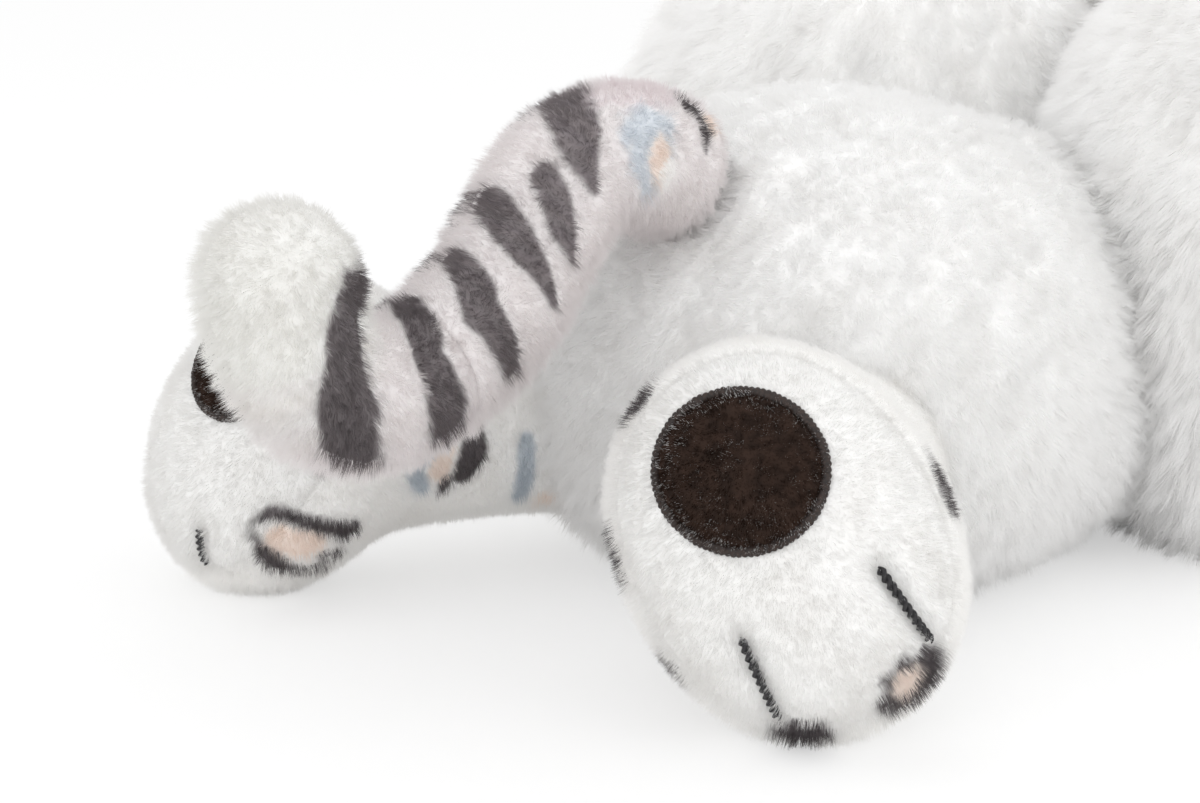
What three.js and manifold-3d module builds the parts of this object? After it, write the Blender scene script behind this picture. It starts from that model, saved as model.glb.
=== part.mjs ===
// Plush snow leopard lying on its belly, hind legs stretched back and tail laid between them.
// Millimetres, +Z up, the toy faces -Y and its left is +X. The floor is z = 0.
import * as THREE from 'three';
import { mergeVertices } from 'three/addons/utils/BufferGeometryUtils.js';
import Module from 'manifold-3d';

// Shared fits
const GAP = 0.3;
const WALL = 3;
const FLOOR_GAP = 0.4;
const TOOL_FLATS = 0.5;

// Body
const RUMP = { centre: [0, 4, 39.5], radii: [51, 53.5, 40.5], fullness: 2.4 };
const WAIST = { centre: [0, -62, 30], radii: [42, 40, 30] };
const SHOULDER_LOBE = { centre: [49, -78, 56], radii: [45, 48, 57] };
const STERNUM = { centre: [0, -118, 52], radii: [46, 36, 50] };

// Head, a solid of revolution about its own nodding axis
const HEAD = { centre: [0, -150, 98], width: 62, depth: 53 };
const NECK_HOLE_RADIUS = 16;
const MUZZLE = { radii: [27, 20, 19], sunk: 7, drop: 14 };
const NOSE = { radii: [8, 5.5, 6], fullness: 2.3, sunk: 3, rise: 7, hold: 3.5 };
const EAR = { radii: [17, 7, 19], apart: 36, back: 4, sunk: 4, tilt: 22 };
const EYE_SPOT = [24, 14];
const EYE = { radius: 7.5, height: 5, stem: 1.6, stemLength: 6.1, seat: 0.7, hold: 0.5 };
const WASHER = { radius: 5.2, thickness: 1.2, depth: 3.7 };
const NOSE_WASHER = { radius: 4.2, thickness: 1.2, depth: 6.6 };

// Hind legs, each laid at its own angle
const HIP_RADIUS = 20;
const HIND = {
  left: { side: 1, hip: [30.4, 32.1, 29], splay: 31, turnout: -23, roll: 27, pitch: 24 },
  right: { side: -1, hip: [-19.1, 29.4, 29], splay: 24, turnout: 6.8, roll: 29.7, pitch: 12.8 },
};
const HIND_LENGTH = 58;
const HIND_RANGE = [-5, 5, 15];
const ANKLE_RADIUS = 17.5;
const FOOT = { radii: [22.6, 18.5, 28.5], fullness: 2.15 };
const SOLE_SEAM = 6;
const PAD = { radii: [11.8, 11.2], height: 11.5, thickness: 1.9 };
const TOE_LINES = [-9.5, 9.5];
const TOE_LINE_SPAN = { left: [-16.5, -22.2], right: [-8.5, -21] };
const TOE_FAN = 90;
const THREAD_RADIUS = 0.8;

// Forelegs
const SHOULDER_RADIUS = 23;
const SHOULDER = [58, -116, 32];
const FORE_SPLAY = 5;
const FORE_LENGTH = 76;
const FORE_RANGE = [0, 10, 20];
const WRIST_RADIUS = 17;
const PAW = { radii: [23, 27, 19.5] };
const PAW_LINES = [-8, 8];
const PAW_LINE_SPAN = [10, -6];

// Tail, a stuffed tube in three sewn lengths
const TAIL_RADIUS = 10.2;
const TAIL_ROOT_RADIUS = 10.8;
const TAIL_ROOT_DEPTH = 4.5;
const TAIL_TIP_RADIUS = 10.4;
const TAIL_SWING_RANGE = [-6, 7, 20];
const TAIL_CURL_RANGE = [-15, 0, 15];
const TAIL_BASE_PATH = [
  [4.5, 48.8, 73.3], [5.2, 57, 76], [6, 64, 76.3], [7, 72, 73], [7.3, 79.5, 65.4], [7.4, 87.5, 56.6],
];
const TAIL_MIDDLE_PATH = [[7.4, 87.5, 56.6], [7.6, 97.5, 50.5], [8.2, 107, 47.2], [8.7, 115, 47]];
const TAIL_TIP_PATH = [[8.7, 115, 47], [9.3, 122, 50.5], [9.8, 126.5, 57], [10.3, 128, 65]];

const wasm = await Module();
wasm.setup();

// A closed three.js geometry as a solid for joining and cutting
function solid(geometry) {
  const bare = new THREE.BufferGeometry();
  bare.setAttribute('position', geometry.getAttribute('position').clone());
  if (geometry.index) bare.setIndex(geometry.index.clone());
  const welded = mergeVertices(bare, 1e-4);
  const mesh = new wasm.Mesh({
    numProp: 3,
    vertProperties: new Float32Array(welded.getAttribute('position').array),
    triVerts: new Uint32Array(welded.index.array),
  });
  return new wasm.Manifold(mesh);
}

// A solid back as a three.js geometry
function geometryOf(manifold) {
  const mesh = manifold.getMesh();
  const geometry = new THREE.BufferGeometry();
  geometry.setAttribute('position', new THREE.BufferAttribute(new Float32Array(mesh.vertProperties), 3));
  geometry.setIndex(new THREE.BufferAttribute(new Uint32Array(mesh.triVerts), 1));
  geometry.computeVertexNormals();
  return geometry;
}

// A stuffed swelling: an ellipsoid, or a fuller one where the fullness is above 2
function swelling(radii, options = {}) {
  const { centre = [0, 0, 0], fullness = 2, grow = 0, turn = null, around = 20, rings = 12 } = options;
  const geometry = new THREE.SphereGeometry(1, around, rings);
  geometry.rotateX(Math.PI / 2);
  const sizes = new THREE.Vector3(...radii).addScalar(grow);
  const position = geometry.getAttribute('position');
  for (let i = 0; i < position.count; i += 1) {
    const point = new THREE.Vector3().fromBufferAttribute(position, i);
    const total = ['x', 'y', 'z'].reduce((sum, axis) => sum + Math.abs(point[axis]) ** fullness, 0);
    point.multiplyScalar(total ** (-1 / fullness)).multiply(sizes);
    position.setXYZ(i, point.x, point.y, point.z);
  }
  if (turn) geometry.applyMatrix4(turn);
  geometry.translate(...centre);
  return solid(geometry);
}

// A round socket whose flats stay clear of a ball of this radius
const SOCKET_FACETS = { around: 20, rings: 12 };
const flatShare = ({ around, rings }) => Math.cos(Math.PI / around) * Math.cos(Math.PI / (2 * rings));

function socket(radius, centre) {
  const size = (radius + GAP) / flatShare(SOCKET_FACETS);
  return swelling([size, size, size], { centre, ...SOCKET_FACETS });
}

// A stuffed tube through rings of {at, along, radius}, closed at both ends
function stuffedTube(rings, sides = 14) {
  const positions = [];
  const indices = [];
  let across = new THREE.Vector3(1, 0, 0);
  for (const { at, along, radius } of rings) {
    across = across.clone().addScaledVector(along, -across.dot(along)).normalize();
    const third = new THREE.Vector3().crossVectors(along, across);
    for (let k = 0; k < sides; k += 1) {
      const angle = (2 * Math.PI * k) / sides;
      const point = at.clone();
      point.addScaledVector(across, radius * Math.cos(angle));
      point.addScaledVector(third, radius * Math.sin(angle));
      positions.push(point.x, point.y, point.z);
    }
  }
  for (let r = 0; r + 1 < rings.length; r += 1) {
    for (let k = 0; k < sides; k += 1) {
      const [a, b] = [r * sides + k, r * sides + ((k + 1) % sides)];
      indices.push(a, b, a + sides, b, b + sides, a + sides);
    }
  }
  const first = positions.length / 3;
  for (const end of [rings[0], rings[rings.length - 1]]) positions.push(end.at.x, end.at.y, end.at.z);
  const last = (rings.length - 1) * sides;
  for (let k = 0; k < sides; k += 1) {
    const next = (k + 1) % sides;
    indices.push(first, next, k, first + 1, last + k, last + next);
  }
  const geometry = new THREE.BufferGeometry();
  geometry.setAttribute('position', new THREE.Float32BufferAttribute(positions, 3));
  geometry.setIndex(indices);
  return solid(geometry);
}

// Rings of a round end on a tube, as deep as its radius or less; sign -1 opens it and +1 closes it
function roundEnd(at, along, radius, sign, depth = radius, count = 5) {
  const rings = [];
  for (let i = 0; i < count; i += 1) {
    const angle = ((i + 0.35) / count) * (Math.PI / 2);
    const ring = {
      at: at.clone().addScaledVector(along, sign * depth * Math.cos(angle)),
      along,
      radius: radius * Math.sin(angle),
    };
    rings.push(ring);
  }
  return sign < 0 ? rings : rings.reverse();
}

// A stuffed tube along a path; each end is as deep as given, or flat
function tailLength(path, radiusAt, { start = 0, finish = 0, steps = 6 }) {
  const curve = new THREE.CatmullRomCurve3(path.map((point) => new THREE.Vector3(...point)));
  const rings = [];
  for (let i = 0; i <= steps; i += 1) {
    const t = i / steps;
    rings.push({ at: curve.getPointAt(t), along: curve.getTangentAt(t), radius: radiusAt(t) });
  }
  const [first, last] = [rings[0], rings[steps]];
  const opening = start ? roundEnd(first.at, first.along, first.radius, -1, start) : [];
  const closing = finish ? roundEnd(last.at, last.along, last.radius, 1, finish) : [];
  return stuffedTube([...opening, ...rings, ...closing]);
}

const aboutZ = (degrees) => new THREE.Matrix4().makeRotationZ(THREE.MathUtils.degToRad(degrees));
const aboutY = (degrees) => new THREE.Matrix4().makeRotationY(THREE.MathUtils.degToRad(degrees));
const aboutX = (degrees) => new THREE.Matrix4().makeRotationX(THREE.MathUtils.degToRad(degrees));

// A solid moved about a pivot by a rotation matrix
function swung(piece, pivot, turn) {
  const move = new THREE.Matrix4().makeTranslation(...pivot).multiply(turn);
  move.multiply(new THREE.Matrix4().makeTranslation(...pivot.map((value) => -value)));
  return piece.transform(move.elements);
}

const mirrored = ([x, y, z], side) => [side * x, y, z];
const onFloor = (piece, height = 0) => piece.trimByPlane([0, 0, 1], height);

// A cylinder from one depth to another below a spot on a surface, along its outward direction
function plug(spot, outward, radius, fromDepth, toDepth) {
  const geometry = new THREE.CylinderGeometry(radius, radius, toDepth - fromDepth, 14);
  const turn = new THREE.Quaternion().setFromUnitVectors(new THREE.Vector3(0, 1, 0), outward);
  geometry.applyQuaternion(turn);
  const middle = spot.clone().addScaledVector(outward, -(fromDepth + toDepth) / 2);
  geometry.translate(middle.x, middle.y, middle.z);
  return solid(geometry);
}

// Facets of the large forms, finer on the faces that show
const FINE = { around: 24, rings: 14 };
const COARSE = { around: 14, rings: 9 };
const facets = (grow) => (grow < 0 ? COARSE : FINE);

// Body forms, grown or shrunk together
function rumpForm(grow) {
  const { centre, radii, fullness } = RUMP;
  return onFloor(swelling(radii, { centre, fullness, grow, ...facets(grow) }), -Math.min(grow, 0));
}

// The head's facets run around its nodding axis
const HEAD_FACETS = { around: 32, rings: 12 };

function headForm(grow) {
  const facing = { centre: HEAD.centre, turn: aboutY(90), grow, ...(grow < 0 ? COARSE : HEAD_FACETS) };
  return swelling([HEAD.depth, HEAD.depth, HEAD.width], facing);
}

// The hollow that the head nods in, whose flats stay clear of it
function headHollow(gap) {
  const depth = (HEAD.depth + gap) / Math.cos(Math.PI / HEAD_FACETS.around);
  const facing = { centre: HEAD.centre, turn: aboutY(90), ...HEAD_FACETS };
  return swelling([depth, depth, HEAD.width + gap], facing);
}

function chestForm(grow) {
  const sizes = { grow, ...(grow < 0 ? { around: 12, rings: 8 } : { around: 18, rings: 12 }) };
  const lobes = [1, -1].map((side) => {
    return swelling(SHOULDER_LOBE.radii, { centre: mirrored(SHOULDER_LOBE.centre, side), ...sizes });
  });
  const sternum = swelling(STERNUM.radii, { centre: STERNUM.centre, ...sizes });
  const waist = swelling(WAIST.radii, { centre: WAIST.centre, ...sizes });
  return onFloor(lobes[0].add(lobes[1]).add(sternum).add(waist), -Math.min(grow, 0));
}

// Foot frame of a hind leg: local y points out of the sole and local z to the heel
function footFrame({ side, hip, splay, turnout, roll, pitch }) {
  const turn = aboutZ(-side * (splay + turnout)).multiply(aboutX(pitch)).multiply(aboutY(-side * roll));
  const reach = new THREE.Vector3(0, HIND_LENGTH, 0).applyMatrix4(aboutZ(-side * splay));
  const rows = turn.elements;
  const drop = Math.hypot(rows[2] * FOOT.radii[0], rows[6] * FOOT.radii[1], rows[10] * FOOT.radii[2]);
  const centre = [hip[0] + reach.x, hip[1] + reach.y, drop * 1.012 + FLOOR_GAP];
  const frame = new THREE.Matrix4().makeTranslation(...centre).multiply(turn);
  return { frame, centre, turn };
}

function footForm(leg, grow) {
  const { centre, turn } = footFrame(leg);
  return swelling(FOOT.radii, { centre, turn, grow, fullness: FOOT.fullness });
}

// Share of the root's extra thickness that is left along a limb
const LIMB_TAPER = [[0.12, 0.97], [0.3, 0.6], [0.5, 0.2], [0.72, 0], [1, 0]];

// A limb from a ball root to a wrist or ankle; a swept tool starts just inside its socket instead
function limbTube(from, to, rootRadius, endRadius, grow, tool = false) {
  const start = new THREE.Vector3(...from);
  const along = new THREE.Vector3(...to).sub(start);
  const length = along.length();
  along.normalize();
  const rootRings = [...roundEnd(start, along, rootRadius, -1), { at: start, along, radius: rootRadius }];
  const rings = tool ? [{ at: start, along, radius: rootRadius - GAP }] : rootRings;
  for (const [t, share] of LIMB_TAPER) {
    const radius = endRadius + (rootRadius - endRadius) * share + grow;
    rings.push({ at: start.clone().addScaledVector(along, t * length), along, radius });
  }
  return stuffedTube(rings, 16);
}

function hindTube(leg, grow, tool = false) {
  return limbTube(leg.hip, footFrame(leg).centre, HIP_RADIUS, ANKLE_RADIUS, grow, tool);
}

function foreFrame(side) {
  const root = mirrored(SHOULDER, side);
  const reach = new THREE.Vector3(0, -FORE_LENGTH, 0).applyMatrix4(aboutZ(side * FORE_SPLAY));
  const centre = [root[0] + reach.x, root[1] + reach.y, PAW.radii[2] + FLOOR_GAP];
  return { root, centre, turn: aboutZ(side * FORE_SPLAY) };
}

function foreTube(side, grow, tool = false) {
  const { root, centre } = foreFrame(side);
  return limbTube(root, centre, SHOULDER_RADIUS, WRIST_RADIUS, grow, tool);
}

function pawForm(side, grow) {
  const { centre, turn } = foreFrame(side);
  return swelling(PAW.radii, { centre, turn, grow, around: 18, rings: 11 });
}

// A thread laid on a swelling, following its surface
function thread(radii, frame, spots, fullness = 2) {
  const points = spots.map(([x, y, z]) => {
    const unit = [x / radii[0], y / radii[1], z / radii[2]];
    const size = unit.reduce((sum, value) => sum + Math.abs(value) ** fullness, 0) ** (1 / fullness);
    const lift = 1 + (THREAD_RADIUS + GAP) / Math.hypot(x / size, y / size, z / size);
    return new THREE.Vector3(x, y, z).multiplyScalar(lift / size).applyMatrix4(frame);
  });
  const curve = new THREE.CatmullRomCurve3(points);
  const rings = [];
  for (let i = 0; i <= 6; i += 1) {
    rings.push({ at: curve.getPointAt(i / 6), along: curve.getTangentAt(i / 6), radius: THREAD_RADIUS });
  }
  return stuffedTube(rings, 6);
}

// Evenly spaced values from one end of a span to the other
function between([from, to], count) {
  return Array.from({ length: count }, (_, i) => from + ((to - from) * i) / (count - 1));
}

// The finished pieces
const part = new THREE.Group();
part.name = 'plush_snow_leopard';

function addPiece(name, manifold, colour, roughness = 0.95) {
  const material = new THREE.MeshStandardMaterial({ color: colour, roughness });
  material.name = name;
  const mesh = new THREE.Mesh(geometryOf(manifold), material);
  mesh.name = name;
  part.add(mesh);
}

const WHITE = 0xf3f0ec;
const PRINTED = 0xe6e1de;
const STRIPED = 0x8d8789;
const BROWN = 0x3b2a24;
const BLACK = 0x17161a;
const FIBRE = 0xfafaf7;
const CLEAR_NYLON = 0xd9dcdc;

const legs = Object.values(HIND);
const tailBaseRadius = (t) => TAIL_ROOT_RADIUS + (TAIL_RADIUS - TAIL_ROOT_RADIUS) * Math.min(1, t * 1.6);
const tailTipRadius = (t) => TAIL_RADIUS + (TAIL_TIP_RADIUS - TAIL_RADIUS) * t;

function tailBaseForm(grow) {
  const ends = { start: TAIL_ROOT_DEPTH + grow, steps: 10 };
  return tailLength(TAIL_BASE_PATH, (t) => tailBaseRadius(t) + grow, ends);
}

// What the sewn limbs take out of the covers and fillings, swept through their ranges
function limbCuts(root, radius, tool, turns, room) {
  return [socket(radius + room, root), ...turns.map((turn) => swung(tool, root, turn))];
}

function rumpCuts(room) {
  const tailRoom = tailBaseForm(GAP + room);
  const cuts = TAIL_SWING_RANGE.map((angle) => swung(tailRoom, TAIL_BASE_PATH[0], aboutX(angle)));
  for (const leg of legs) {
    const turns = HIND_RANGE.map((angle) => aboutZ(-leg.side * angle));
    const tool = hindTube(leg, GAP + TOOL_FLATS + room, true);
    cuts.push(...limbCuts(leg.hip, HIP_RADIUS, tool, turns, room));
  }
  return cuts;
}

function chestCuts(room) {
  const cuts = [headHollow(GAP + room)];
  const turns = FORE_RANGE.map((angle) => aboutX(-angle));
  for (const side of [1, -1]) {
    const tool = foreTube(side, GAP + TOOL_FLATS + room, true);
    cuts.push(...limbCuts(foreFrame(side).root, SHOULDER_RADIUS, tool, turns, room));
  }
  return cuts;
}

const lessAll = (piece, cuts) => cuts.reduce((left, cut) => left.subtract(cut), piece);

// Rump and chest: long pile covers over their fibre filling
addPiece('rump_cover', lessAll(rumpForm(0).subtract(rumpForm(-WALL)), rumpCuts(0)), WHITE);
addPiece('rump_filling', lessAll(rumpForm(-WALL - GAP), rumpCuts(GAP)), FIBRE);
const chestShell = chestForm(0).subtract(chestForm(-WALL)).subtract(rumpForm(GAP));
addPiece('chest_cover', lessAll(chestShell, chestCuts(0)), WHITE);
const chestCore = chestForm(-WALL - GAP).subtract(rumpForm(2 * GAP));
addPiece('chest_filling', lessAll(chestCore, chestCuts(GAP)), FIBRE);

// Head: cover, filling, muzzle and what is fixed on them
const headCentre = new THREE.Vector3(...HEAD.centre);
const headSizes = new THREE.Vector3(HEAD.width, HEAD.depth, HEAD.depth);
const neckOut = new THREE.Vector3(0, 0.8, -0.6);
const neckSpot = headCentre.clone().addScaledVector(neckOut, HEAD.depth);
let headCover = headForm(0).subtract(headForm(-WALL));
headCover = headCover.subtract(plug(neckSpot, neckOut, NECK_HOLE_RADIUS, -WALL, 3 * WALL));
let headFilling = headForm(-WALL - GAP);
for (const side of [1, -1]) {
  const [across, above] = EYE_SPOT;
  const forward = HEAD.depth * Math.sqrt(1 - (across / HEAD.width) ** 2 - (above / HEAD.depth) ** 2);
  const spot = headCentre.clone().add(new THREE.Vector3(side * across, -forward, above));
  const outward = new THREE.Vector3(side * across, -forward, above);
  outward.divide(headSizes).divide(headSizes);
  outward.normalize();
  const face = EYE.seat - GAP;
  headCover = headCover.subtract(plug(spot, outward, EYE.radius + GAP, -EYE.height, EYE.seat));
  headCover = headCover.subtract(plug(spot, outward, EYE.stem + GAP, 0, 2 * WALL));
  headCover = headCover.subtract(plug(spot, outward, WASHER.radius + GAP, WASHER.depth - GAP, 3 * WALL));
  const stemEnd = face + EYE.stemLength;
  headFilling = headFilling.subtract(plug(spot, outward, WASHER.radius + GAP, 0, stemEnd + GAP));
  const dome = onFloor(swelling([EYE.radius, EYE.radius, EYE.height], { around: 16, rings: 8 }));
  const turn = new THREE.Quaternion().setFromUnitVectors(new THREE.Vector3(0, 0, 1), outward);
  const seatPoint = spot.clone().addScaledVector(outward, -face);
  const place = new THREE.Matrix4().compose(seatPoint, turn, new THREE.Vector3(1, 1, 1));
  const stem = plug(spot, outward, EYE.stem, face - EYE.hold, stemEnd);
  const name = side > 0 ? 'left' : 'right';
  addPiece(`eye_${name}`, dome.transform(place.elements).add(stem), BLACK, 0.15);
  const ring = plug(spot, outward, WASHER.radius, WASHER.depth, WASHER.depth + WASHER.thickness);
  const bore = plug(spot, outward, EYE.stem + GAP, 0, 2 * WASHER.depth + WASHER.thickness);
  addPiece(`eye_washer_${name}`, ring.subtract(bore), CLEAR_NYLON, 0.4);
}
addPiece('head_cover', headCover, WHITE);
addPiece('head_filling', headFilling, FIBRE);

// Muzzle and nose, the nose held by a stem and a washer in the muzzle
const noseOut = new THREE.Vector3(0, -1, 0);
const muzzleSpot = headCentre.clone().addScaledVector(noseOut, HEAD.depth - MUZZLE.sunk);
muzzleSpot.z -= MUZZLE.drop;
const noseSpot = muzzleSpot.clone().addScaledVector(noseOut, MUZZLE.radii[1] - NOSE.sunk);
noseSpot.z += NOSE.rise;
const muzzleForm = (grow) => swelling(MUZZLE.radii, { centre: muzzleSpot, grow, around: 18, rings: 10 });
const washerEnd = NOSE_WASHER.depth + NOSE_WASHER.thickness;
const noseWell = plug(noseSpot, noseOut, EYE.stem + GAP, -NOSE.radii[1] - GAP, washerEnd + 2 * GAP);
const washerSeat = [NOSE_WASHER.depth - GAP, washerEnd + GAP];
const washerWell = plug(noseSpot, noseOut, NOSE_WASHER.radius + GAP, ...washerSeat);
addPiece('muzzle', lessAll(muzzleForm(0), [headForm(GAP), noseWell, washerWell]), WHITE);
const noseStem = plug(noseSpot, noseOut, EYE.stem, -NOSE.hold, washerEnd + GAP);
const noseForm = swelling(NOSE.radii, { centre: noseSpot, fullness: NOSE.fullness, around: 14, rings: 8 });
addPiece('nose', noseForm.subtract(muzzleForm(GAP)).add(noseStem), BLACK, 0.4);
const noseRing = plug(noseSpot, noseOut, NOSE_WASHER.radius, NOSE_WASHER.depth, washerEnd);
addPiece('nose_washer', noseRing.subtract(noseWell), CLEAR_NYLON, 0.4);

// Ears
for (const side of [1, -1]) {
  const turn = aboutY(side * EAR.tilt);
  const centre = headCentre.clone().add(new THREE.Vector3(side * EAR.apart, EAR.back, HEAD.depth - EAR.sunk));
  const ear = swelling(EAR.radii, { centre, turn, around: 16, rings: 10 });
  addPiece(`ear_${side > 0 ? 'left' : 'right'}`, ear.subtract(headForm(GAP)), WHITE);
}

// Forelegs with their toe threads
for (const side of [1, -1]) {
  const name = side > 0 ? 'left' : 'right';
  addPiece(`foreleg_${name}`, foreTube(side, 0).add(pawForm(side, 0)), WHITE);
  const { centre, turn } = foreFrame(side);
  const frame = new THREE.Matrix4().makeTranslation(...centre).multiply(turn);
  PAW_LINES.forEach((across, index) => {
    const spots = between(PAW_LINE_SPAN, 5).map((height) => {
      const room = 1 - (across / PAW.radii[0]) ** 2 - (height / PAW.radii[2]) ** 2;
      return [across, -PAW.radii[1] * Math.sqrt(room), height];
    });
    addPiece(`fore_toe_thread_${name}_${index + 1}`, thread(PAW.radii, frame, spots), BLACK);
  });
}

// Hind legs: leg, sole panel, pad and toe threads
for (const [name, leg] of Object.entries(HIND)) {
  const { frame, centre, turn } = footFrame(leg);
  const out = new THREE.Vector3(0, 1, 0).applyMatrix4(turn);
  const seam = out.dot(new THREE.Vector3(...centre)) + SOLE_SEAM;
  const foot = footForm(leg, 0);
  const upper = hindTube(leg, 0).add(foot).trimByPlane([-out.x, -out.y, -out.z], -(seam - GAP / 2));
  addPiece(`hind_leg_${name}`, upper, PRINTED);
  addPiece(`sole_${name}`, foot.trimByPlane([out.x, out.y, out.z], seam + GAP / 2), WHITE);
  const depth = 2 * FOOT.radii[1];
  const outline = new THREE.CylinderGeometry(1, 1, depth, 28);
  outline.scale(PAD.radii[0], 1, PAD.radii[1]);
  outline.translate(0, depth / 2 + SOLE_SEAM + GAP, PAD.height);
  outline.applyMatrix4(frame);
  const layer = footForm(leg, GAP + PAD.thickness).subtract(footForm(leg, GAP));
  addPiece(`pad_${name}`, layer.intersect(solid(outline)), BROWN);
  TOE_LINES.forEach((across, index) => {
    const spots = between(TOE_LINE_SPAN[name], 5).map((height) => {
      const { radii, fullness } = FOOT;
      const slant = across * (1 - height / TOE_FAN);
      const room = 1 - Math.abs(slant / radii[0]) ** fullness - Math.abs(height / radii[2]) ** fullness;
      return [slant, radii[1] * room ** (1 / fullness), height];
    });
    addPiece(`toe_thread_${name}_${index + 1}`, thread(FOOT.radii, frame, spots, FOOT.fullness), BLACK);
  });
}

// Tail: base, middle and tip, each ball end seated in the length before it
const bend = socket(TAIL_RADIUS, TAIL_MIDDLE_PATH[0]);
const tipEnds = (grow) => ({ start: TAIL_RADIUS + grow, finish: TAIL_TIP_RADIUS + grow });
const tipForm = (grow) => tailLength(TAIL_TIP_PATH, (t) => tailTipRadius(t) + grow, tipEnds(grow));
const tipRoom = tipForm(GAP);
const tipCuts = TAIL_CURL_RANGE.map((angle) => swung(tipRoom, TAIL_TIP_PATH[0], aboutX(angle)));
const curl = socket(TAIL_RADIUS, TAIL_TIP_PATH[0]);
const middleForm = tailLength(TAIL_MIDDLE_PATH, () => TAIL_RADIUS, { start: TAIL_RADIUS });
addPiece('tail_base', tailBaseForm(0).subtract(bend), STRIPED);
addPiece('tail_middle', lessAll(middleForm, [curl, ...tipCuts]), STRIPED);
addPiece('tail_tip', tipForm(0), WHITE);

export default part;
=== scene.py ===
"""A plush snow leopard lying on its belly, seen from behind on a plain white floor."""
import math
from itertools import product

import bmesh
import bpy
import numpy as np
from mathutils import Matrix, Vector


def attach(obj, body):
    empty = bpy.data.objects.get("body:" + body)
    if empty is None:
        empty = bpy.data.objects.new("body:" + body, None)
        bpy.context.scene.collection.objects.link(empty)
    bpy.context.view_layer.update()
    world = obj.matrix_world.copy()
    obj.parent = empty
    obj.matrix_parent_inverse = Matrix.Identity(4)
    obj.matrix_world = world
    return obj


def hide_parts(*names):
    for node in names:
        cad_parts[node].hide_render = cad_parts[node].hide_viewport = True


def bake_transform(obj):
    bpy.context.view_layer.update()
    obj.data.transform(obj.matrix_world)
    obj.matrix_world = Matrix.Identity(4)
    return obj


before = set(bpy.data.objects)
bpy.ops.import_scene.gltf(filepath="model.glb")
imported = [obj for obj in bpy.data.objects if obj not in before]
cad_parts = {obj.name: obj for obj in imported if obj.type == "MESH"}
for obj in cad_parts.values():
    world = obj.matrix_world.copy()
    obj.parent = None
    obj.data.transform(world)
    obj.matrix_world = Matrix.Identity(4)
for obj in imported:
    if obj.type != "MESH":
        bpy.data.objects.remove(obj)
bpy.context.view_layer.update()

MM = 0.001
SEED = 7

# Sizes of the toy in millimetres, with angles in degrees
RUMP = dict(centre=(0, 4, 39.5), radii=(51, 53.5, 40.5), fullness=2.4)
WAIST = dict(centre=(0, -62, 30), radii=(42, 40, 30))
SHOULDER_LOBES = (
    dict(centre=(49, -78, 56), radii=(45, 48, 57)),
    dict(centre=(-49, -78, 56), radii=(45, 48, 57)),
)
STERNUM = dict(centre=(0, -118, 52), radii=(46, 36, 50))
HEAD = dict(centre=(0, -150, 98), radii=(62, 53, 53))
MUZZLE = dict(centre=(0, -196, 84), radii=(27, 20, 19))
NOSE = dict(centre=(0, -213, 91), radii=(8, 5.5, 6), fullness=2.3)
EAR = dict(centre=(36, -146, 147), radii=(17, 7, 19), tilt=22)
EYE_SPOT = (24, 14)
EYE_RADIUS = 7.5
EYE_HEIGHT = 5.0
HIND = {
    "left": dict(side=1, hip=(30.4, 32.1, 29), splay=31, turnout=-23, roll=27, pitch=24),
    "right": dict(side=-1, hip=(-19.1, 29.4, 29), splay=24, turnout=6.8, roll=29.7, pitch=12.8),
}
HIND_LENGTH = 58.0
HIP_RADIUS = 20.0
ANKLE_RADIUS = 17.5
FOOT_RADII = np.array([22.6, 18.5, 28.5])
FOOT_FULLNESS = 2.15
FLOOR_GAP = 0.4
SOLE_SEAM = 6.0
PAD_RADII = (11.8, 11.2)
PAD_HEIGHT = 11.5
PAD_LIFT = 1.3
TOE_LINES = (-9.5, 9.5)
TOE_LINE_SPAN = {"left": (-16.5, -22.2), "right": (-8.5, -21.0)}
TOE_FAN = 90.0
SHOULDER = (58, -116, 32)
SHOULDER_RADIUS = 23.0
FORE_SPLAY = 5.0
FORE_LENGTH = 76.0
WRIST_RADIUS = 17.0
PAW_RADII = np.array([23.0, 27.0, 19.5])
PAW_LINES = (-8.0, 8.0)
PAW_LINE_SPAN = (10.0, -6.0)
TAIL_PATH = [
    (4.5, 48.8, 73.3), (5.2, 57, 76), (6, 64, 76.3), (7, 72, 73), (7.3, 79.5, 65.4), (7.4, 87.5, 56.6),
    (7.6, 97.5, 50.5), (8.2, 107, 47.2), (8.7, 115, 47), (9.3, 122, 50.5), (9.8, 126.5, 57), (10.3, 128, 65),
]
TAIL_BEND = np.array([7.4, 87.5, 56.6])
TAIL_SPLIT = np.array([8.0, 102.0, 48.5])
TAIL_CURL = np.array([8.7, 115.0, 47.0])
TAIL_RADIUS = 10.2
TAIL_ROOT_RADIUS = 10.8
TAIL_ROOT_DEPTH = 4.5
TAIL_TIP_RADIUS = 10.4

# What the looks add, in the same units: underwool, sagging lobes, and room for the tail's root to turn in
RUMP_CROWN = dict(centre=(0, 8, 39.5), radii=(50.5, 49.5, 40.5))
CROWN_FROM = 30.0
CROWN_RISE = 30.0
RUMP_FLUFF = 1.8
RUMP_LEAST = 1.8
SLUMPED_LOBES = (
    dict(centre=(38, -67, 56), radii=(51, 48, 57)),
    dict(centre=(-58, -62, 54), radii=(43, 52, 57)),
)
CHEST_FLUFF = 1.6
CHEST_SOFTNESS = 1.2
CHEST_TUCK = 1.0
CHEST_BOX = ((-110, -166, -8), (110, -4, 126))
CHEST_NET = 1.8
HEAD_FLUFF = 1.0
TAIL_PRESS = -6.0
TAIL_ROOT_LENGTH = 30.0
TAIL_CLEARANCE = 0.7

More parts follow.
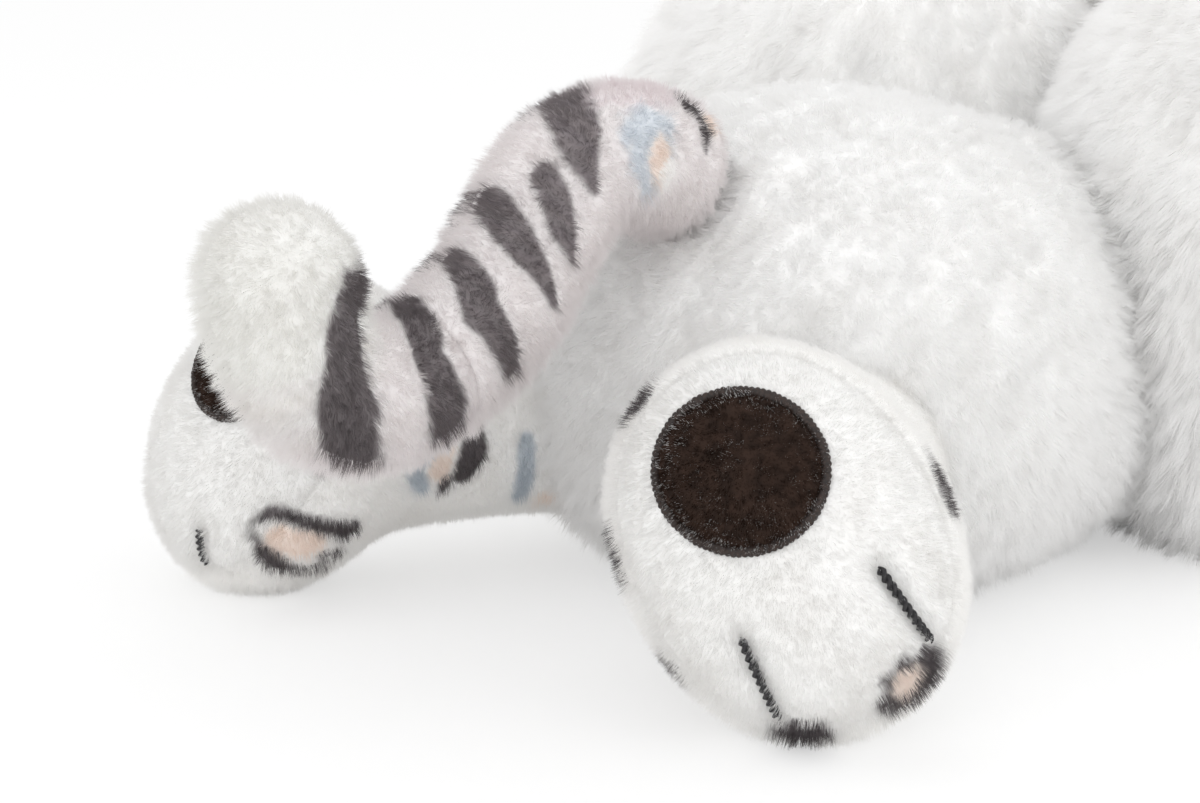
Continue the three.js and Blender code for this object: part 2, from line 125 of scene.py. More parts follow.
# The photograph's view: it is 1200 by 803 pixels
IMAGE_WIDTH = 1200
VIEW_AZIMUTH = 219.0
VIEW_ELEVATION = 13.4
VIEW_DISTANCE = 400.0
VIEW_SCALE = 0.18
VIEW_ANCHOR = (0.0, 0.0, 38.0)
VIEW_ANCHOR_OFFSET = (250.0, 66.0)


def turn_about(axis, degrees):
    return np.array(Matrix.Rotation(math.radians(degrees), 3, axis))


def unit(vectors):
    """Vectors at length one."""
    return vectors / np.linalg.norm(vectors, axis=-1, keepdims=True)


def circle(sides):
    """Even angles round a circle."""
    return np.linspace(0, 2 * np.pi, sides, endpoint=False)


def spun(angles, first, second):
    """Directions at angles from a first direction towards a second."""
    return np.cos(angles)[:, None] * first + np.sin(angles)[:, None] * second


def flipped(faces):
    """Faces turned to the other side."""
    return [tuple(reversed(face)) for face in faces]


# Numbers: noise, fields and rays
def lattice_noise(points, seed):
    """Smooth noise between about -1 and 1 at each point."""
    gradients = unit(np.random.RandomState(SEED + seed).normal(size=(256, 3)))
    cell = np.floor(points).astype(np.int64)
    inside = points - cell
    fade = inside ** 3 * (inside * (inside * 6 - 15) + 10)
    total = np.zeros(len(points))
    for corner in product((0, 1), repeat=3):
        spot = cell + np.array(corner)
        key = (spot[:, 0] * 73856093) ^ (spot[:, 1] * 19349663) ^ (spot[:, 2] * 83492791)
        key = (key ^ (key >> 13)) * 1274126177
        gradient = gradients[(key >> 8) & 255]
        share = np.prod(np.where(np.array(corner), fade, 1 - fade), axis=1)
        total += share * np.einsum("ij,ij->i", gradient, inside - np.array(corner))
    return total * 1.6


def swelling(points, centre, radii, fullness=2.0, turn=None):
    """Rough distance in millimetres from the surface of a stuffed swelling, negative inside."""
    local = points - np.array(centre, float)
    if turn is not None:
        local = local @ turn
    scaled = np.abs(local) / np.array(radii, float)
    size = np.sum(scaled ** fullness, axis=-1) ** (1 / fullness)
    return (size - 1) * float(np.mean(radii))


def tapered(points, start, end, radius_start, radius_end, narrowing=0.6):
    """Distance from a limb that tapers from a ball to a narrower end."""
    start = np.array(start, float)
    along = np.array(end, float) - start
    share = np.clip(((points - start) @ along) / (along @ along), 0, 1)
    nearest = start + share[..., None] * along
    narrowed = 1 - (1 - np.clip(share / narrowing, 0, 1)) ** 2
    radius = radius_start + (radius_end - radius_start) * narrowed
    return np.linalg.norm(points - nearest, axis=-1) - radius


def joined(distances, softness):
    """Soft union of several distance fields."""
    stack = np.stack(distances)
    lowest = stack.min(axis=0)
    return lowest - softness * np.log(np.sum(np.exp(-(stack - lowest) / softness), axis=0))


def surface_along(field, origin, directions, reach, rounds=26):
    """Where rays from a point inside a field leave it."""
    low = np.zeros(len(directions))
    high = np.full(len(directions), float(reach))
    for _ in range(rounds):
        middle = (low + high) / 2
        inside = field(origin + middle[:, None] * directions) < 0
        low = np.where(inside, middle, low)
        high = np.where(inside, high, middle)
    return origin + low[:, None] * directions


def onto_surface(field, points, rounds=4, reach=0.05, longest=1.5):
    """Moves points straight onto the surface of a field."""
    moved = points.copy()
    for _ in range(rounds):
        slope = np.stack([
            field(moved + reach * axis) - field(moved - reach * axis) for axis in np.eye(3)
        ], axis=1) / (2 * reach)
        step = (field(moved) / (np.sum(slope ** 2, axis=1) + 1e-9))[:, None] * slope
        size = np.linalg.norm(step, axis=1, keepdims=True)
        moved -= step * np.minimum(1, longest / (size + 1e-9))
    return moved


def net_skin(field, low, high, spacing, rounds=3):
    """Points and outward faces of a field's surface, as an even net of quads."""
    low = np.array(low, float)
    counts = [int((top - bottom) / spacing) + 2 for bottom, top in zip(low, high)]
    grid = np.stack(np.meshgrid(*[np.arange(count) for count in counts], indexing="ij"), axis=-1)
    inside = (field(low + spacing * grid.reshape(-1, 3)) < 0).reshape(counts)
    filled = sum(
        inside[i:counts[0] - 1 + i, j:counts[1] - 1 + j, k:counts[2] - 1 + k].astype(int)
        for i, j, k in product((0, 1), repeat=3)
    )
    mixed = (filled > 0) & (filled < 8)
    number = np.full(mixed.shape, -1)
    number[mixed] = np.arange(np.count_nonzero(mixed))
    points = low + spacing * (np.argwhere(mixed) + 0.5)
    faces = []
    for axis in range(3):
        first, second = np.roll(np.eye(3, dtype=int), -axis, axis=0)[1:]
        lower = np.take(inside, range(counts[axis] - 1), axis)
        upper = np.take(inside, range(1, counts[axis]), axis)
        spots = np.argwhere(lower != upper)
        cells = [spots - first - second, spots - second, spots, spots - first]
        quads = np.stack([number[tuple(cell.T)] for cell in cells], axis=1)
        rising = lower[tuple(spots.T)]
        faces.append(np.where(rising[:, None], quads, quads[:, ::-1]))
    faces = np.concatenate(faces)
    for _ in range(rounds):
        points = onto_surface(field, eased(points, faces))
    return points, faces


def eased(points, faces):
    """Each point halfway to the middle of its neighbours."""
    here = np.concatenate([faces[:, corner] for corner in range(4)] * 2)
    sides = [faces[:, corner - 1] for corner in range(4)]
    sides += [faces[:, (corner + 1) % 4] for corner in range(4)]
    beside = points[np.concatenate(sides)]
    number = np.bincount(here, minlength=len(points))
    total = np.stack([np.bincount(here, beside[:, axis], len(points)) for axis in range(3)], axis=1)
    return 0.5 * points + 0.5 * total / number[:, None]


# Meshes
def make_object(name, points, faces, smooth=True):
    mesh = bpy.data.meshes.new(name)
    mesh.from_pydata((np.asarray(points) * MM).tolist(), [], np.asarray(faces, dtype=object).tolist())
    mesh.validate()
    mesh.polygons.foreach_set("use_smooth", [smooth] * len(mesh.polygons))
    obj = bpy.data.objects.new(name, mesh)
    bpy.context.scene.collection.objects.link(obj)
    return obj


def ball_grid(level):
    """Points and faces of an even unit ball."""
    grid = bmesh.new()
    bmesh.ops.create_icosphere(grid, subdivisions=level, radius=1.0)
    points = np.array([vertex.co for vertex in grid.verts])
    faces = [[vertex.index for vertex in face.verts] for face in grid.faces]
    grid.free()
    return unit(points), np.array(faces)


def tube_faces(rings, sides, closed_start=None, closed_end=None):
    """Faces of a tube of rings, with a closing point at either end."""
    here = np.arange(sides)
    following = (here + 1) % sides
    base = np.arange(rings - 1)[:, None] * sides
    corners = [base + here, base + following, base + following + sides, base + here + sides]
    faces = np.stack(corners, axis=-1).reshape(-1, 4).tolist()
    last = (rings - 1) * sides
    if closed_start is not None:
        faces += np.stack([np.full(sides, closed_start), following, here], axis=1).tolist()
    if closed_end is not None:
        faces += np.stack([np.full(sides, closed_end), last + here, last + following], axis=1).tolist()
    return faces


def surface_normals(points, faces):
    normals = np.zeros_like(points)
    for size in (3, 4):
        group = np.array([face for face in faces if len(face) == size], dtype=int)
        for k in range(1, size - 1 if len(group) else 1):
            triangles = group[:, [0, k, k + 1]]
            corners = points[triangles]
            flat = np.cross(corners[:, 1] - corners[:, 0], corners[:, 2] - corners[:, 0])
            for corner in range(3):
                for axis in range(3):
                    column = np.bincount(triangles[:, corner], flat[:, axis], len(points))
                    normals[:, axis] += column
    return normals / (np.linalg.norm(normals, axis=1, keepdims=True) + 1e-12)


def tufted(points, faces, height, size, flow, seed):
    """Lifts a skin into small tufts that lie along a flow direction."""
    normals = surface_normals(points, faces)
    flow = unit(np.array(flow, float))
    along = (points @ flow)[:, None] * flow
    squeezed = (points - 0.6 * along) / size
    waves = lattice_noise(squeezed, seed) + 0.5 * lattice_noise(squeezed * 2.3, seed + 1)
    swell = lattice_noise(points / (size * 5), seed + 2)
    return points + normals * (height * waves + 1.5 * height * swell)[:, None]


def flattened(points, floor=0.2):
    """Rests a skin on the floor."""
    rested = points.copy()
    rested[:, 2] = np.maximum(rested[:, 2], floor)
    return rested


# Materials
PILE_STOPS = (0.35, 0.6)
PLAIN_STOPS = (0.35, 0.65)
NAP_GRAIN = 1500.0
NAP_HEIGHT = 0.0004


def new_material(name):
    material = bpy.data.materials.new(name)
    material.use_nodes = True
    material.node_tree.nodes.clear()
    return material, material.node_tree


def add_node(tree, kind, *first_inputs, **named_inputs):
    """A shader node with inputs set or wired, where an underscore stands for a space in an input's name."""
    node = tree.nodes.new(f"ShaderNode{kind}")
    inputs = dict(enumerate(first_inputs))
    inputs.update((name.replace("_", " "), value) for name, value in named_inputs.items())
    for place, value in inputs.items():
        if isinstance(value, bpy.types.NodeSocket):
            tree.links.new(value, node.inputs[place])
        else:
            node.inputs[place].default_value = value
    return node


def add_noise(tree, scale, detail=2.0):
    """Noise in the object's own space."""
    place = add_node(tree, "TexCoord").outputs["Object"]
    return add_node(tree, "TexNoise", Vector=place, Scale=scale, Detail=detail).outputs["Fac"]


def mottled(tree, tint, shade, grain, stops):
    """A colour that wanders between two tints."""
    ramp = add_node(tree, "ValToRGB", Fac=add_noise(tree, grain))
    for stop, position, colour in zip(ramp.color_ramp.elements, stops, (shade, tint)):
        stop.position = position
        stop.color = (*colour, 1)
    return ramp.outputs["Color"]


def pile_colour(tree, tint, shade, grain, printed):
    """A mottled colour, under any print."""
    colour = mottled(tree, tint, shade, grain, PILE_STOPS)
    if not printed:
        return colour
    dye = add_node(tree, "VertexColor")
    dye.layer_name = printed
    mix = add_node(tree, "Mix")
    mix.data_type = "RGBA"
    mix.blend_type = "MULTIPLY"
    mix.inputs["Factor"].default_value = 1.0
    tree.links.new(colour, mix.inputs["A"])
    tree.links.new(dye.outputs["Color"], mix.inputs["B"])
    return mix.outputs["Result"]


def show(tree, shader, output="OutputMaterial"):
    """Joins a shader to the output that shows it."""
    add_node(tree, output, Surface=shader.outputs[0])


def skin_material(name, *look):
    """The fabric that the pile stands on, with the nap of its fibres."""
    material, tree = new_material(name)
    shader = add_node(tree, "BsdfPrincipled", Roughness=0.9, Specular_IOR_Level=0.2)
    tree.links.new(pile_colour(tree, *look), shader.inputs["Base Color"])
    nap = add_noise(tree, NAP_GRAIN, detail=3.0)
    bump = add_node(tree, "Bump", Strength=0.5, Distance=NAP_HEIGHT, Height=nap)
    tree.links.new(bump.outputs["Normal"], shader.inputs["Normal"])
    show(tree, shader)
    return material


def strand_material(name, *look):
    """Fine fibres that pass light on to each other, so that deep pile stays bright."""
    material, tree = new_material(name)
    colour = pile_colour(tree, *look)
    halves = [add_node(tree, kind, Color=colour).outputs[0] for kind in ("BsdfDiffuse", "BsdfTranslucent")]
    show(tree, add_node(tree, "MixShader", 0.5, *halves))
    return material


def pile_materials(name, tint, shade, printed=None, grain=140.0):
    """The two materials of a pile fabric: its skin and its strands."""
    look = (tint, shade, grain, printed)
    return skin_material(f"{name}_skin", *look), strand_material(f"{name}_strands", *look)


# Painted light: the rump and chest wear the same white pile. The chest's is written lighter to lift the
# shade the chest lobes lie in, and the rump's darker where its top faces the lamps.
LONG_PILE = pile_materials("long_pile", (0.935, 0.934, 0.932), (0.915, 0.912, 0.908))
CHEST_PILE = pile_materials("chest_pile", (0.972, 0.971, 0.969), (0.954, 0.951, 0.947))
PRINTED_PILE = pile_materials("printed_pile", (0.92, 0.916, 0.908), (0.89, 0.883, 0.872), printed="print")
PAD_PILE = pile_materials("pad_pile", (0.034, 0.019, 0.0135), (0.019, 0.0105, 0.0074), grain=500.0)


def plain_material(name, tint, shade, roughness, coat=0.0, grain=400.0):
    """Thread, plastic or loose fibre with a fine mottle."""
    material, tree = new_material(name)
    colour = mottled(tree, tint, shade, grain, PLAIN_STOPS)
    show(tree, add_node(tree, "BsdfPrincipled", Base_Color=colour, Roughness=roughness, Coat_Weight=coat))
    return material


THREAD = plain_material("toe_thread", (0.03, 0.028, 0.03), (0.008, 0.008, 0.01), 0.7, grain=2500.0)
PAD_THREAD = plain_material("pad_thread", (0.03, 0.016, 0.011), (0.009, 0.005, 0.004), 0.6, grain=2500.0)
EYE_PLASTIC = plain_material("eye_plastic", (0.02, 0.02, 0.024), (0.012, 0.012, 0.014), 0.12, coat=0.6)
NOSE_PLASTIC = plain_material("nose_plastic", (0.07, 0.045, 0.042), (0.045, 0.03, 0.028), 0.45)
NYLON = plain_material("washer_nylon", (0.75, 0.76, 0.76), (0.66, 0.67, 0.67), 0.5)
FIBRE = plain_material("fibre_fill", (0.86, 0.86, 0.85), (0.7, 0.7, 0.69), 0.95, grain=250.0)


# Pile: strands on a skin, by length and thickness in millimetres and strands to a square millimetre
PILE_TRAITS = ("length", "thickness", "density", "tuft", "clump", "rough", "spread", "tip")
PILES = {
    "rump": (3.6, 0.12, 9, 14, 0.35, 0.3, 0.5, 0.6),
    "chest": (5.0, 0.13, 8, 16, 0.45, 0.3, 0.5, 0.7),
    "head": (2.2, 0.11, 9, 10, 0.1, 0.3, 0.35, 0.5),
    "foot": (1.7, 0.11, 11, 8, 0.1, 0.25, 0.3, 0.5),
    "face": (1.4, 0.1, 13, 8, 0.1, 0.25, 0.2, 0.5),
    "tail": (2.3, 0.11, 11, 9, 0.2, 0.3, 0.4, 0.5),
    "pad": (1.1, 0.11, 12, 8, 0.2, 0.25, 0.3, 0.5),
}
STRAND_BENDS = 1
GROWTH_TIME = 4.0


def add_pile(obj, kind, lean, seed):
    """Covers a skin with fibres that lean towards a direction."""
    pile = dict(zip(PILE_TRAITS, PILES[kind]))
    area = sum(face.area for face in obj.data.polygons) / MM ** 2
    obj.modifiers.new("pile", "PARTICLE_SYSTEM")
    system = obj.particle_systems[-1]
    system.seed = SEED + seed
    strands = system.settings
    strands.type = "HAIR"
    strands.use_advanced_hair = True
    strands.count = int(area * pile["density"] / pile["tuft"])
    strands.hair_step = 4
    strands.render_step = STRAND_BENDS
    strands.display_step = 2
    strands.emit_from = "FACE"
    strands.use_emit_random = True
    strands.use_even_distribution = True
    speed = pile["length"] * MM / GROWTH_TIME
    strands.normal_factor = speed
    strands.object_align_factor = [value * speed for value in lean]
    strands.factor_random = pile["spread"] * speed
    strands.length_random = 0.3
    strands.child_type = "INTERPOLATED"
    strands.child_percent = 0
    strands.rendered_child_count = pile["tuft"]
    strands.clump_factor = pile["clump"]
    strands.clump_shape = 0.1
    strands.roughness_2 = pile["rough"] * pile["length"] * MM
    strands.roughness_endpoint = 0.4 * pile["rough"] * pile["length"] * MM
    strands.root_radius = 1.0
    strands.tip_radius = pile["tip"]
    strands.radius_scale = pile["thickness"] * MM / 2
    strands.material = 2


def clothe(obj, materials):
    for material in materials:
        obj.data.materials.append(material)


def dress(obj, materials, body, slot, *nodes):
    clothe(obj, materials)
    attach(obj, body)
    if nodes:
        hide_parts(*nodes)
    return obj


# The tail's line
def evenly(path, steps):
    """Evenly spaced points along a path, and how far along it each one is."""
    lengths = np.concatenate([[0], np.cumsum(np.linalg.norm(np.diff(path, axis=0), axis=1))])
    at = np.linspace(0, lengths[-1], steps)
    return np.stack([np.interp(at, lengths, path[:, k]) for k in range(3)], axis=1), at


def smooth_path(path, steps, between=20):
    """Evenly spaced points on a smooth curve through a path."""
    knots = np.array(path, float)
    padded = np.concatenate([2 * knots[:1] - knots[1:2], knots, 2 * knots[-1:] - knots[-2:-1]])
    dense = []
    for i in range(1, len(padded) - 2):
        a, b, c, d = padded[i - 1:i + 3]
        for t in np.linspace(0, 1, between, endpoint=False):
            dense.append(0.5 * (2 * b + (c - a) * t + (2 * a - 5 * b + 4 * c - d) * t ** 2
                                + (3 * b - a - 3 * c + d) * t ** 3))
    return evenly(np.array(dense + [knots[-1]]), steps)


TAIL_LINE, TAIL_AT = smooth_path(TAIL_PATH, steps=400)
TAIL_LENGTH = float(TAIL_AT[-1])
SPLIT_AT = float(TAIL_AT[np.argmin(np.linalg.norm(TAIL_LINE - TAIL_SPLIT, axis=1))])
TAIL_SIDES = 144
TAIL_ROOT_TAPER = 25.0


def tail_radius(at):
    """The tail is a little thicker at its root and its tip."""
    root = np.clip(1 - at / TAIL_ROOT_TAPER, 0, 1)
    tip = np.clip(at / TAIL_LENGTH * 4 - 3, 0, 1)
    return TAIL_RADIUS + (TAIL_ROOT_RADIUS - TAIL_RADIUS) * root + (TAIL_TIP_RADIUS - TAIL_RADIUS) * tip


def tail_room(points):
    """Distance from the tail's root, both at rest and pressed down as far as its joint lets it."""
    root = np.where(TAIL_AT < TAIL_ROOT_LENGTH)[0][::6]
    line, radii = TAIL_LINE[root], tail_radius(TAIL_AT[root])
    hinge = np.array(TAIL_PATH[0])
    pressed = (line - hinge) @ turn_about("X", TAIL_PRESS).T + hinge
    room = np.linalg.norm(points - hinge, axis=1)
    near = room < TAIL_ROOT_LENGTH
    gaps = [np.linalg.norm(points[near, None] - path[None], axis=2) - radii for path in (line, pressed)]
    room[near] = np.minimum(gaps[0].min(axis=1), gaps[1].min(axis=1))
    return room


# Rump and chest
def rump_field(points):
    """The rump with the underwool of its pile, rounder at its crown than at its base."""
    risen = np.clip((points[:, 2] - CROWN_FROM) / CROWN_RISE, 0, 1)
    base = swelling(points, RUMP["centre"], RUMP["radii"], RUMP["fullness"])
    crown = swelling(points, RUMP_CROWN["centre"], RUMP_CROWN["radii"])
    stuffed = np.minimum(base * (1 - risen) + crown * risen - RUMP_FLUFF, base + RUMP_LEAST)
    return np.maximum(stuffed, TAIL_CLEARANCE - tail_room(points))


def chest_field(points):
    """The sewn chest and the lobes of its slumped pile, cut off just inside the rump."""
    sewn = [swelling(points, form["centre"], form["radii"]) for form in (*SHOULDER_LOBES, STERNUM, WAIST)]
    slumped = [swelling(points, form["centre"], form["radii"]) - CHEST_FLUFF for form in SLUMPED_LOBES]
    return np.maximum(joined(sewn + slumped, CHEST_SOFTNESS), -CHEST_TUCK - rump_field(points))


def star_skin(field, origin, level, reach):
    """Points and faces of a field's skin, seen from a point inside it."""
    directions, faces = ball_grid(level)
    return surface_along(field, np.array(origin, float), directions, reach), faces


def swollen_skin(centre, radii, level, reach, fullness=2.0, turn=None):
    """Points and faces of the skin of one swelling."""
    return star_skin(lambda points: swelling(points, centre, radii, fullness, turn), centre, level, reach)


points, faces = star_skin(rump_field, RUMP["centre"], level=7, reach=90)
points = flattened(tufted(points, faces, height=1.0, size=6.5, flow=(0.2, 1.0, -0.5), seed=10))
rump = make_object("rump_skin", points, faces)
dress(rump, LONG_PILE, "body", "long_pile", "rump_cover")
add_pile(rump, "rump", lean=(-0.2, 0.5, -0.5), seed=1)

points, faces = net_skin(chest_field, *CHEST_BOX, CHEST_NET)
points = flattened(tufted(points, faces, height=1.2, size=8.0, flow=(0.0, 0.4, -1.0), seed=20))
chest = make_object("chest_skin", points, faces)
dress(chest, CHEST_PILE, "body", "long_pile", "chest_cover")
add_pile(chest, "chest", lean=(0.0, 0.5, -0.8), seed=2)


# Hind legs
LIMB_SOFTNESS = 2.5
LIMB_REACH = 60.0
HIP_SHARE = 0.9
FOOT_REST = 1.012
SEAM_DRAW = 0.012
SEAM_WIDTH = 0.7
HEM_DRAW = 0.06
HEM_DEPTHS = (1.5, 0.6)
TOE_LINE_STEPS = 24
TOE_THREAD_SINK = 0.35
PULL_WIDTH = 2.2
PULL_DEPTH = 1.5


def foot_frame(leg):
    """Centre and axes of a foot: local y points out of the sole and local z to the heel."""
    side = leg["side"]
    swing = turn_about("Z", -side * leg["splay"])
    turn = swing @ turn_about("Z", -side * leg["turnout"]) @ turn_about("X", leg["pitch"])
    turn = turn @ turn_about("Y", -side * leg["roll"])
    reach = swing @ np.array([0, HIND_LENGTH, 0])
    drop = np.linalg.norm(turn[2] * FOOT_RADII)
    centre = np.array([leg["hip"][0] + reach[0], leg["hip"][1] + reach[1], drop * FOOT_REST + FLOOR_GAP])
    return centre, turn


def foot_section(angles, height):
    """Foot-local x and z around the foot at a height out of the sole."""
    share = np.clip(1 - np.abs(height / FOOT_RADII[1]) ** FOOT_FULLNESS, 0, 1) ** (1 / FOOT_FULLNESS)
    rounded = np.abs(np.cos(angles)) ** FOOT_FULLNESS + np.abs(np.sin(angles)) ** FOOT_FULLNESS
    size = rounded ** (-1 / FOOT_FULLNESS)
    return FOOT_RADII[0] * share * size * np.cos(angles), FOOT_RADII[2] * share * size * np.sin(angles)


def sole_height(x, z):
    """How far the sole stands out of the foot's middle at a foot-local x and z."""
    used = np.abs(x / FOOT_RADII[0]) ** FOOT_FULLNESS + np.abs(z / FOOT_RADII[2]) ** FOOT_FULLNESS
    return FOOT_RADII[1] * np.clip(1 - used, 0, 1) ** (1 / FOOT_FULLNESS)


def toe_path(side, across):
    """A toe line on the sole, from its inner end to the toes."""
    heights = np.linspace(*TOE_LINE_SPAN[side], TOE_LINE_STEPS)
    slant = across * (1 - heights / TOE_FAN)
    return np.stack([slant, sole_height(slant, heights), heights], axis=1)


def thread_pulled(side, local):
    """How deep the toe threads pull the sole in at each foot-local point."""
    pull = np.zeros(len(local))
    for across in TOE_LINES:
        path = toe_path(side, across)
        gap = np.min(np.linalg.norm(local[:, None, [0, 2]] - path[None, :, [0, 2]], axis=2), axis=1)
        pull = np.maximum(pull, np.exp(-(gap / PULL_WIDTH) ** 2))
    return pull


def sole_skin(side, leg):
    """The sole panel, its edge turned in at the seam and its toes drawn in by the threads."""
    centre, turn = foot_frame(leg)
    sides, rings = 160, 60
    angles = circle(sides)
    steps = np.sin(0.5 * np.pi * np.arange(rings) / rings)
    hem = [SOLE_SEAM - depth for depth in HEM_DEPTHS]
    heights = np.concatenate([hem, SOLE_SEAM + (FOOT_RADII[1] - SOLE_SEAM) * steps])
    local = []
    for height in heights:
        x, z = foot_section(angles, height)
        local.append(np.stack([x, np.full(sides, height), z], axis=1))
    local = np.concatenate(local + [np.array([[0, FOOT_RADII[1], 0]])])
    faces = tube_faces(len(heights), sides, closed_end=len(heights) * sides)
    local = tufted(local, faces, height=0.12, size=2.0, flow=(0, 0, -1), seed=30)
    local[:, 1] -= PULL_DEPTH * thread_pulled(side, local)
    local[:, [0, 2]] *= (1 - turned_in(local[:, 1] - SOLE_SEAM))[:, None]
    return flattened(local @ turn.T + centre), flipped(faces)


def turned_in(above_seam):
    """Share by which a panel's edge draws in near the seam and under it."""
    drawn = SEAM_DRAW * np.exp(-(above_seam / SEAM_WIDTH) ** 2)
    return drawn + HEM_DRAW * np.clip(-above_seam / HEM_DEPTHS[0], 0, 1)


def leg_field(leg):
    centre, turn = foot_frame(leg)

    def field(points):
        foot = swelling(points, centre, FOOT_RADII, FOOT_FULLNESS, turn)
        limb = tapered(points, leg["hip"], centre, HIP_RADIUS, ANKLE_RADIUS)
        return joined([foot, limb], LIMB_SOFTNESS)
    return field


def leg_skin(leg):
    """The leg and the upper of its foot, from the hip to the sole seam."""
    centre, turn = foot_frame(leg)
    hip = np.array(leg["hip"], float)
    across, axis, third = turn.T
    sides, rings = 160, 150
    angles = circle(sides)
    spokes = spun(angles, across, third)
    seam_centre = centre + axis * SOLE_SEAM
    start = hip - unit(seam_centre - hip) * HIP_RADIUS * HIP_SHARE
    field = leg_field(leg)
    rows = []
    for t in np.linspace(0, 1, rings):
        origin = start + (seam_centre - start) * t
        rows.append(surface_along(field, origin, spokes, LIMB_REACH))
    for shrink, rise in ((0.985, 0.3), (0.95, 0.1)):
        rows.append(seam_centre + axis * rise + shrink * (rows[rings - 1] - seam_centre))
    points = np.concatenate(rows + [start[None]])
    faces = tube_faces(len(rows), sides, closed_start=len(rows) * sides)
    points = tufted(points, faces, height=0.12, size=2.0, flow=axis, seed=40)
    return flattened(points), flipped(faces)


def paint(obj, colours):
    """Stores a print on a skin, one colour to each of its points."""
    mesh = obj.data
    full = np.concatenate([colours, np.ones((len(colours), 1))], axis=1)
    layer = mesh.color_attributes.new("print", "BYTE_COLOR", "CORNER")
    corners = np.empty(len(mesh.loops), dtype=np.int64)
    mesh.loops.foreach_get("vertex_index", corners)
    layer.data.foreach_set("color", full[corners].astype(np.float32).ravel())


# Dyes of the print, each a share of the white pile's colour
DYES = dict(
    dark=np.array([0.15, 0.135, 0.14]),
    blue=np.array([0.62, 0.67, 0.73]),
    mist=np.array([0.78, 0.82, 0.87]),
    peach=np.array([0.97, 0.88, 0.82]),
    lilac=np.array([0.88, 0.83, 0.85]),
    white=np.array([1.0, 1.0, 1.0]),
)


def blank(points, ground=1.0):
    """Colours of a skin before its print."""
    return np.repeat(DYES["white"][None] * ground, len(points), axis=0)


def laid_over(colours, dye, cover):
    """Colours with a dye laid over a share of each."""
    return colours * (1 - cover) + dye * cover


def blot(points, centre, size, seed, ragged=1.0):
    """How strongly a ragged blot covers each point."""
    gap = np.linalg.norm((points - np.array(centre)) / np.array(size), axis=1)
    edge = 0.3 * lattice_noise(points / 3.0, seed) + 0.15 * lattice_noise(points / 1.1, seed + 1)
    return np.clip((1.0 - gap - ragged * edge) * 4.0, 0, 1)[:, None]


def dyed(points, blots, seed):
    """Colours of a print made of blots of dye, each with its place and sizes."""
    colours = blank(points)
    for index, (dye, place, size) in enumerate(blots):
        cover = blot(points, place, size, seed + 3 * index)
        colours = laid_over(colours, DYES[dye], cover)
    return colours


# Blots on each hind leg, in its foot's frame
LEG_BLOTS = {
    "right": [
        ("dark", (9, 2, 26), (4, 4, 4)), ("dark", (22, 2, 9.5), (3.5, 4, 5)),
        ("dark", (23, 2, -9), (3.5, 4, 4)), ("dark", (11, 7, -25), (5.5, 5, 4)),
        ("dark", (-7, 8, -25), (7, 6, 5.5)), ("peach", (-6, 9, -24), (3, 3, 3)),
        ("dark", (-23.5, 2, -4), (3, 4, 6)), ("dark", (-12, -8, 20), (6, 5, 5)),
        ("peach", (-12, -8, 21), (3, 3, 3)), ("blue", (10, -22, 16), (6, 8, 6)),
        ("dark", (-18, -16, -6), (5, 6, 5)), ("dark", (18, -12, 4), (5, 6, 5)),
    ],
    "left": [
        ("dark", (-14, -4, 24), (5, 5, 4)), ("dark", (8, 2, 27), (5, 4, 4)),
        ("dark", (22, 2, 8), (3.5, 4, 5)), ("dark", (14, 7, -23), (5, 5, 4)),
        ("dark", (18, -14, 6), (5, 6, 5)),
    ],
}
# Brush strokes on each hind leg, in its foot's frame: dye, path, and width at each point of the path
LEG_STROKES = {
    "right": [],
    "left": [
        ("peach", [(-22.1, 5.9, -8.6), (-23.2, 1.2, -7.5)], (5.0, 5.0)),
        ("dark", [(-18.9, 11.4, -9.4), (-20.9, 10, -4.8), (-22.9, 6, -3.5), (-23.8, 0.4, -2.9),
                  (-23.5, -4.2, -2.5)], (0.4, 2.4, 1.6, 2.2, 3.4)),
        ("dark", [(-19.2, 10.4, -10.2), (-20.4, 8.3, -11.4), (-21.2, 4.1, -13.4), (-21.6, -0.2, -13.8)],
         (0.3, 1.0, 3.2, 1.2)),
        ("dark", [(-21.5, -1.3, -13.7), (-21, -7, -11.3)], (0.8, 0.5)),
        ("dark", [(-22.6, -3.7, -9.1), (-22.3, -6.1, -7.8)], (1.4, 1.4)),
        ("dark", [(-21.1, 9, 6.9), (-21.8, 7.8, 6.5)], (1.8, 2.2)),
        ("peach", [(-21.4, -13.2, 16), (-22, -14.2, 11.8)], (2.8, 2.8)),
        ("blue", [(-20.3, -11.8, 18.4), (-21.2, -10, 14.9), (-22.1, -10.1, 10.6), (-21.9, -13.6, 7.8)],
         (1.4, 2.0, 2.8, 2.0)),
        ("dark", [(-20.8, -15.9, 20.7), (-22.2, -17.7, 18), (-22.6, -18.6, 12.9)], (3.0, 4.0, 2.8)),
        ("dark", [(-22.2, -16.8, 10.8), (-21.9, -17.5, 8.5)], (1.4, 1.0)),
        ("blue", [(-23.6, -24.6, 23.8), (-24.7, -28.3, 18.1), (-23.3, -32, 12.5)], (1.8, 2.2, 1.8)),
        ("peach", [(-24.2, -36.7, 14.6), (-24.2, -36.5, 12)], (3.0, 3.0)),
    ],
}
# Painted light: legs and soles are the same white pile. The legs stay full white to lift the shade under the
# tail and the near foot, and the soles are darkened where they face the lamps.
LEG_GROUND = 1.0
SOLE_GROUND_DIMMED = 0.93
HEAD_GROUND = 0.97
STROKE_LIFT = 1.0


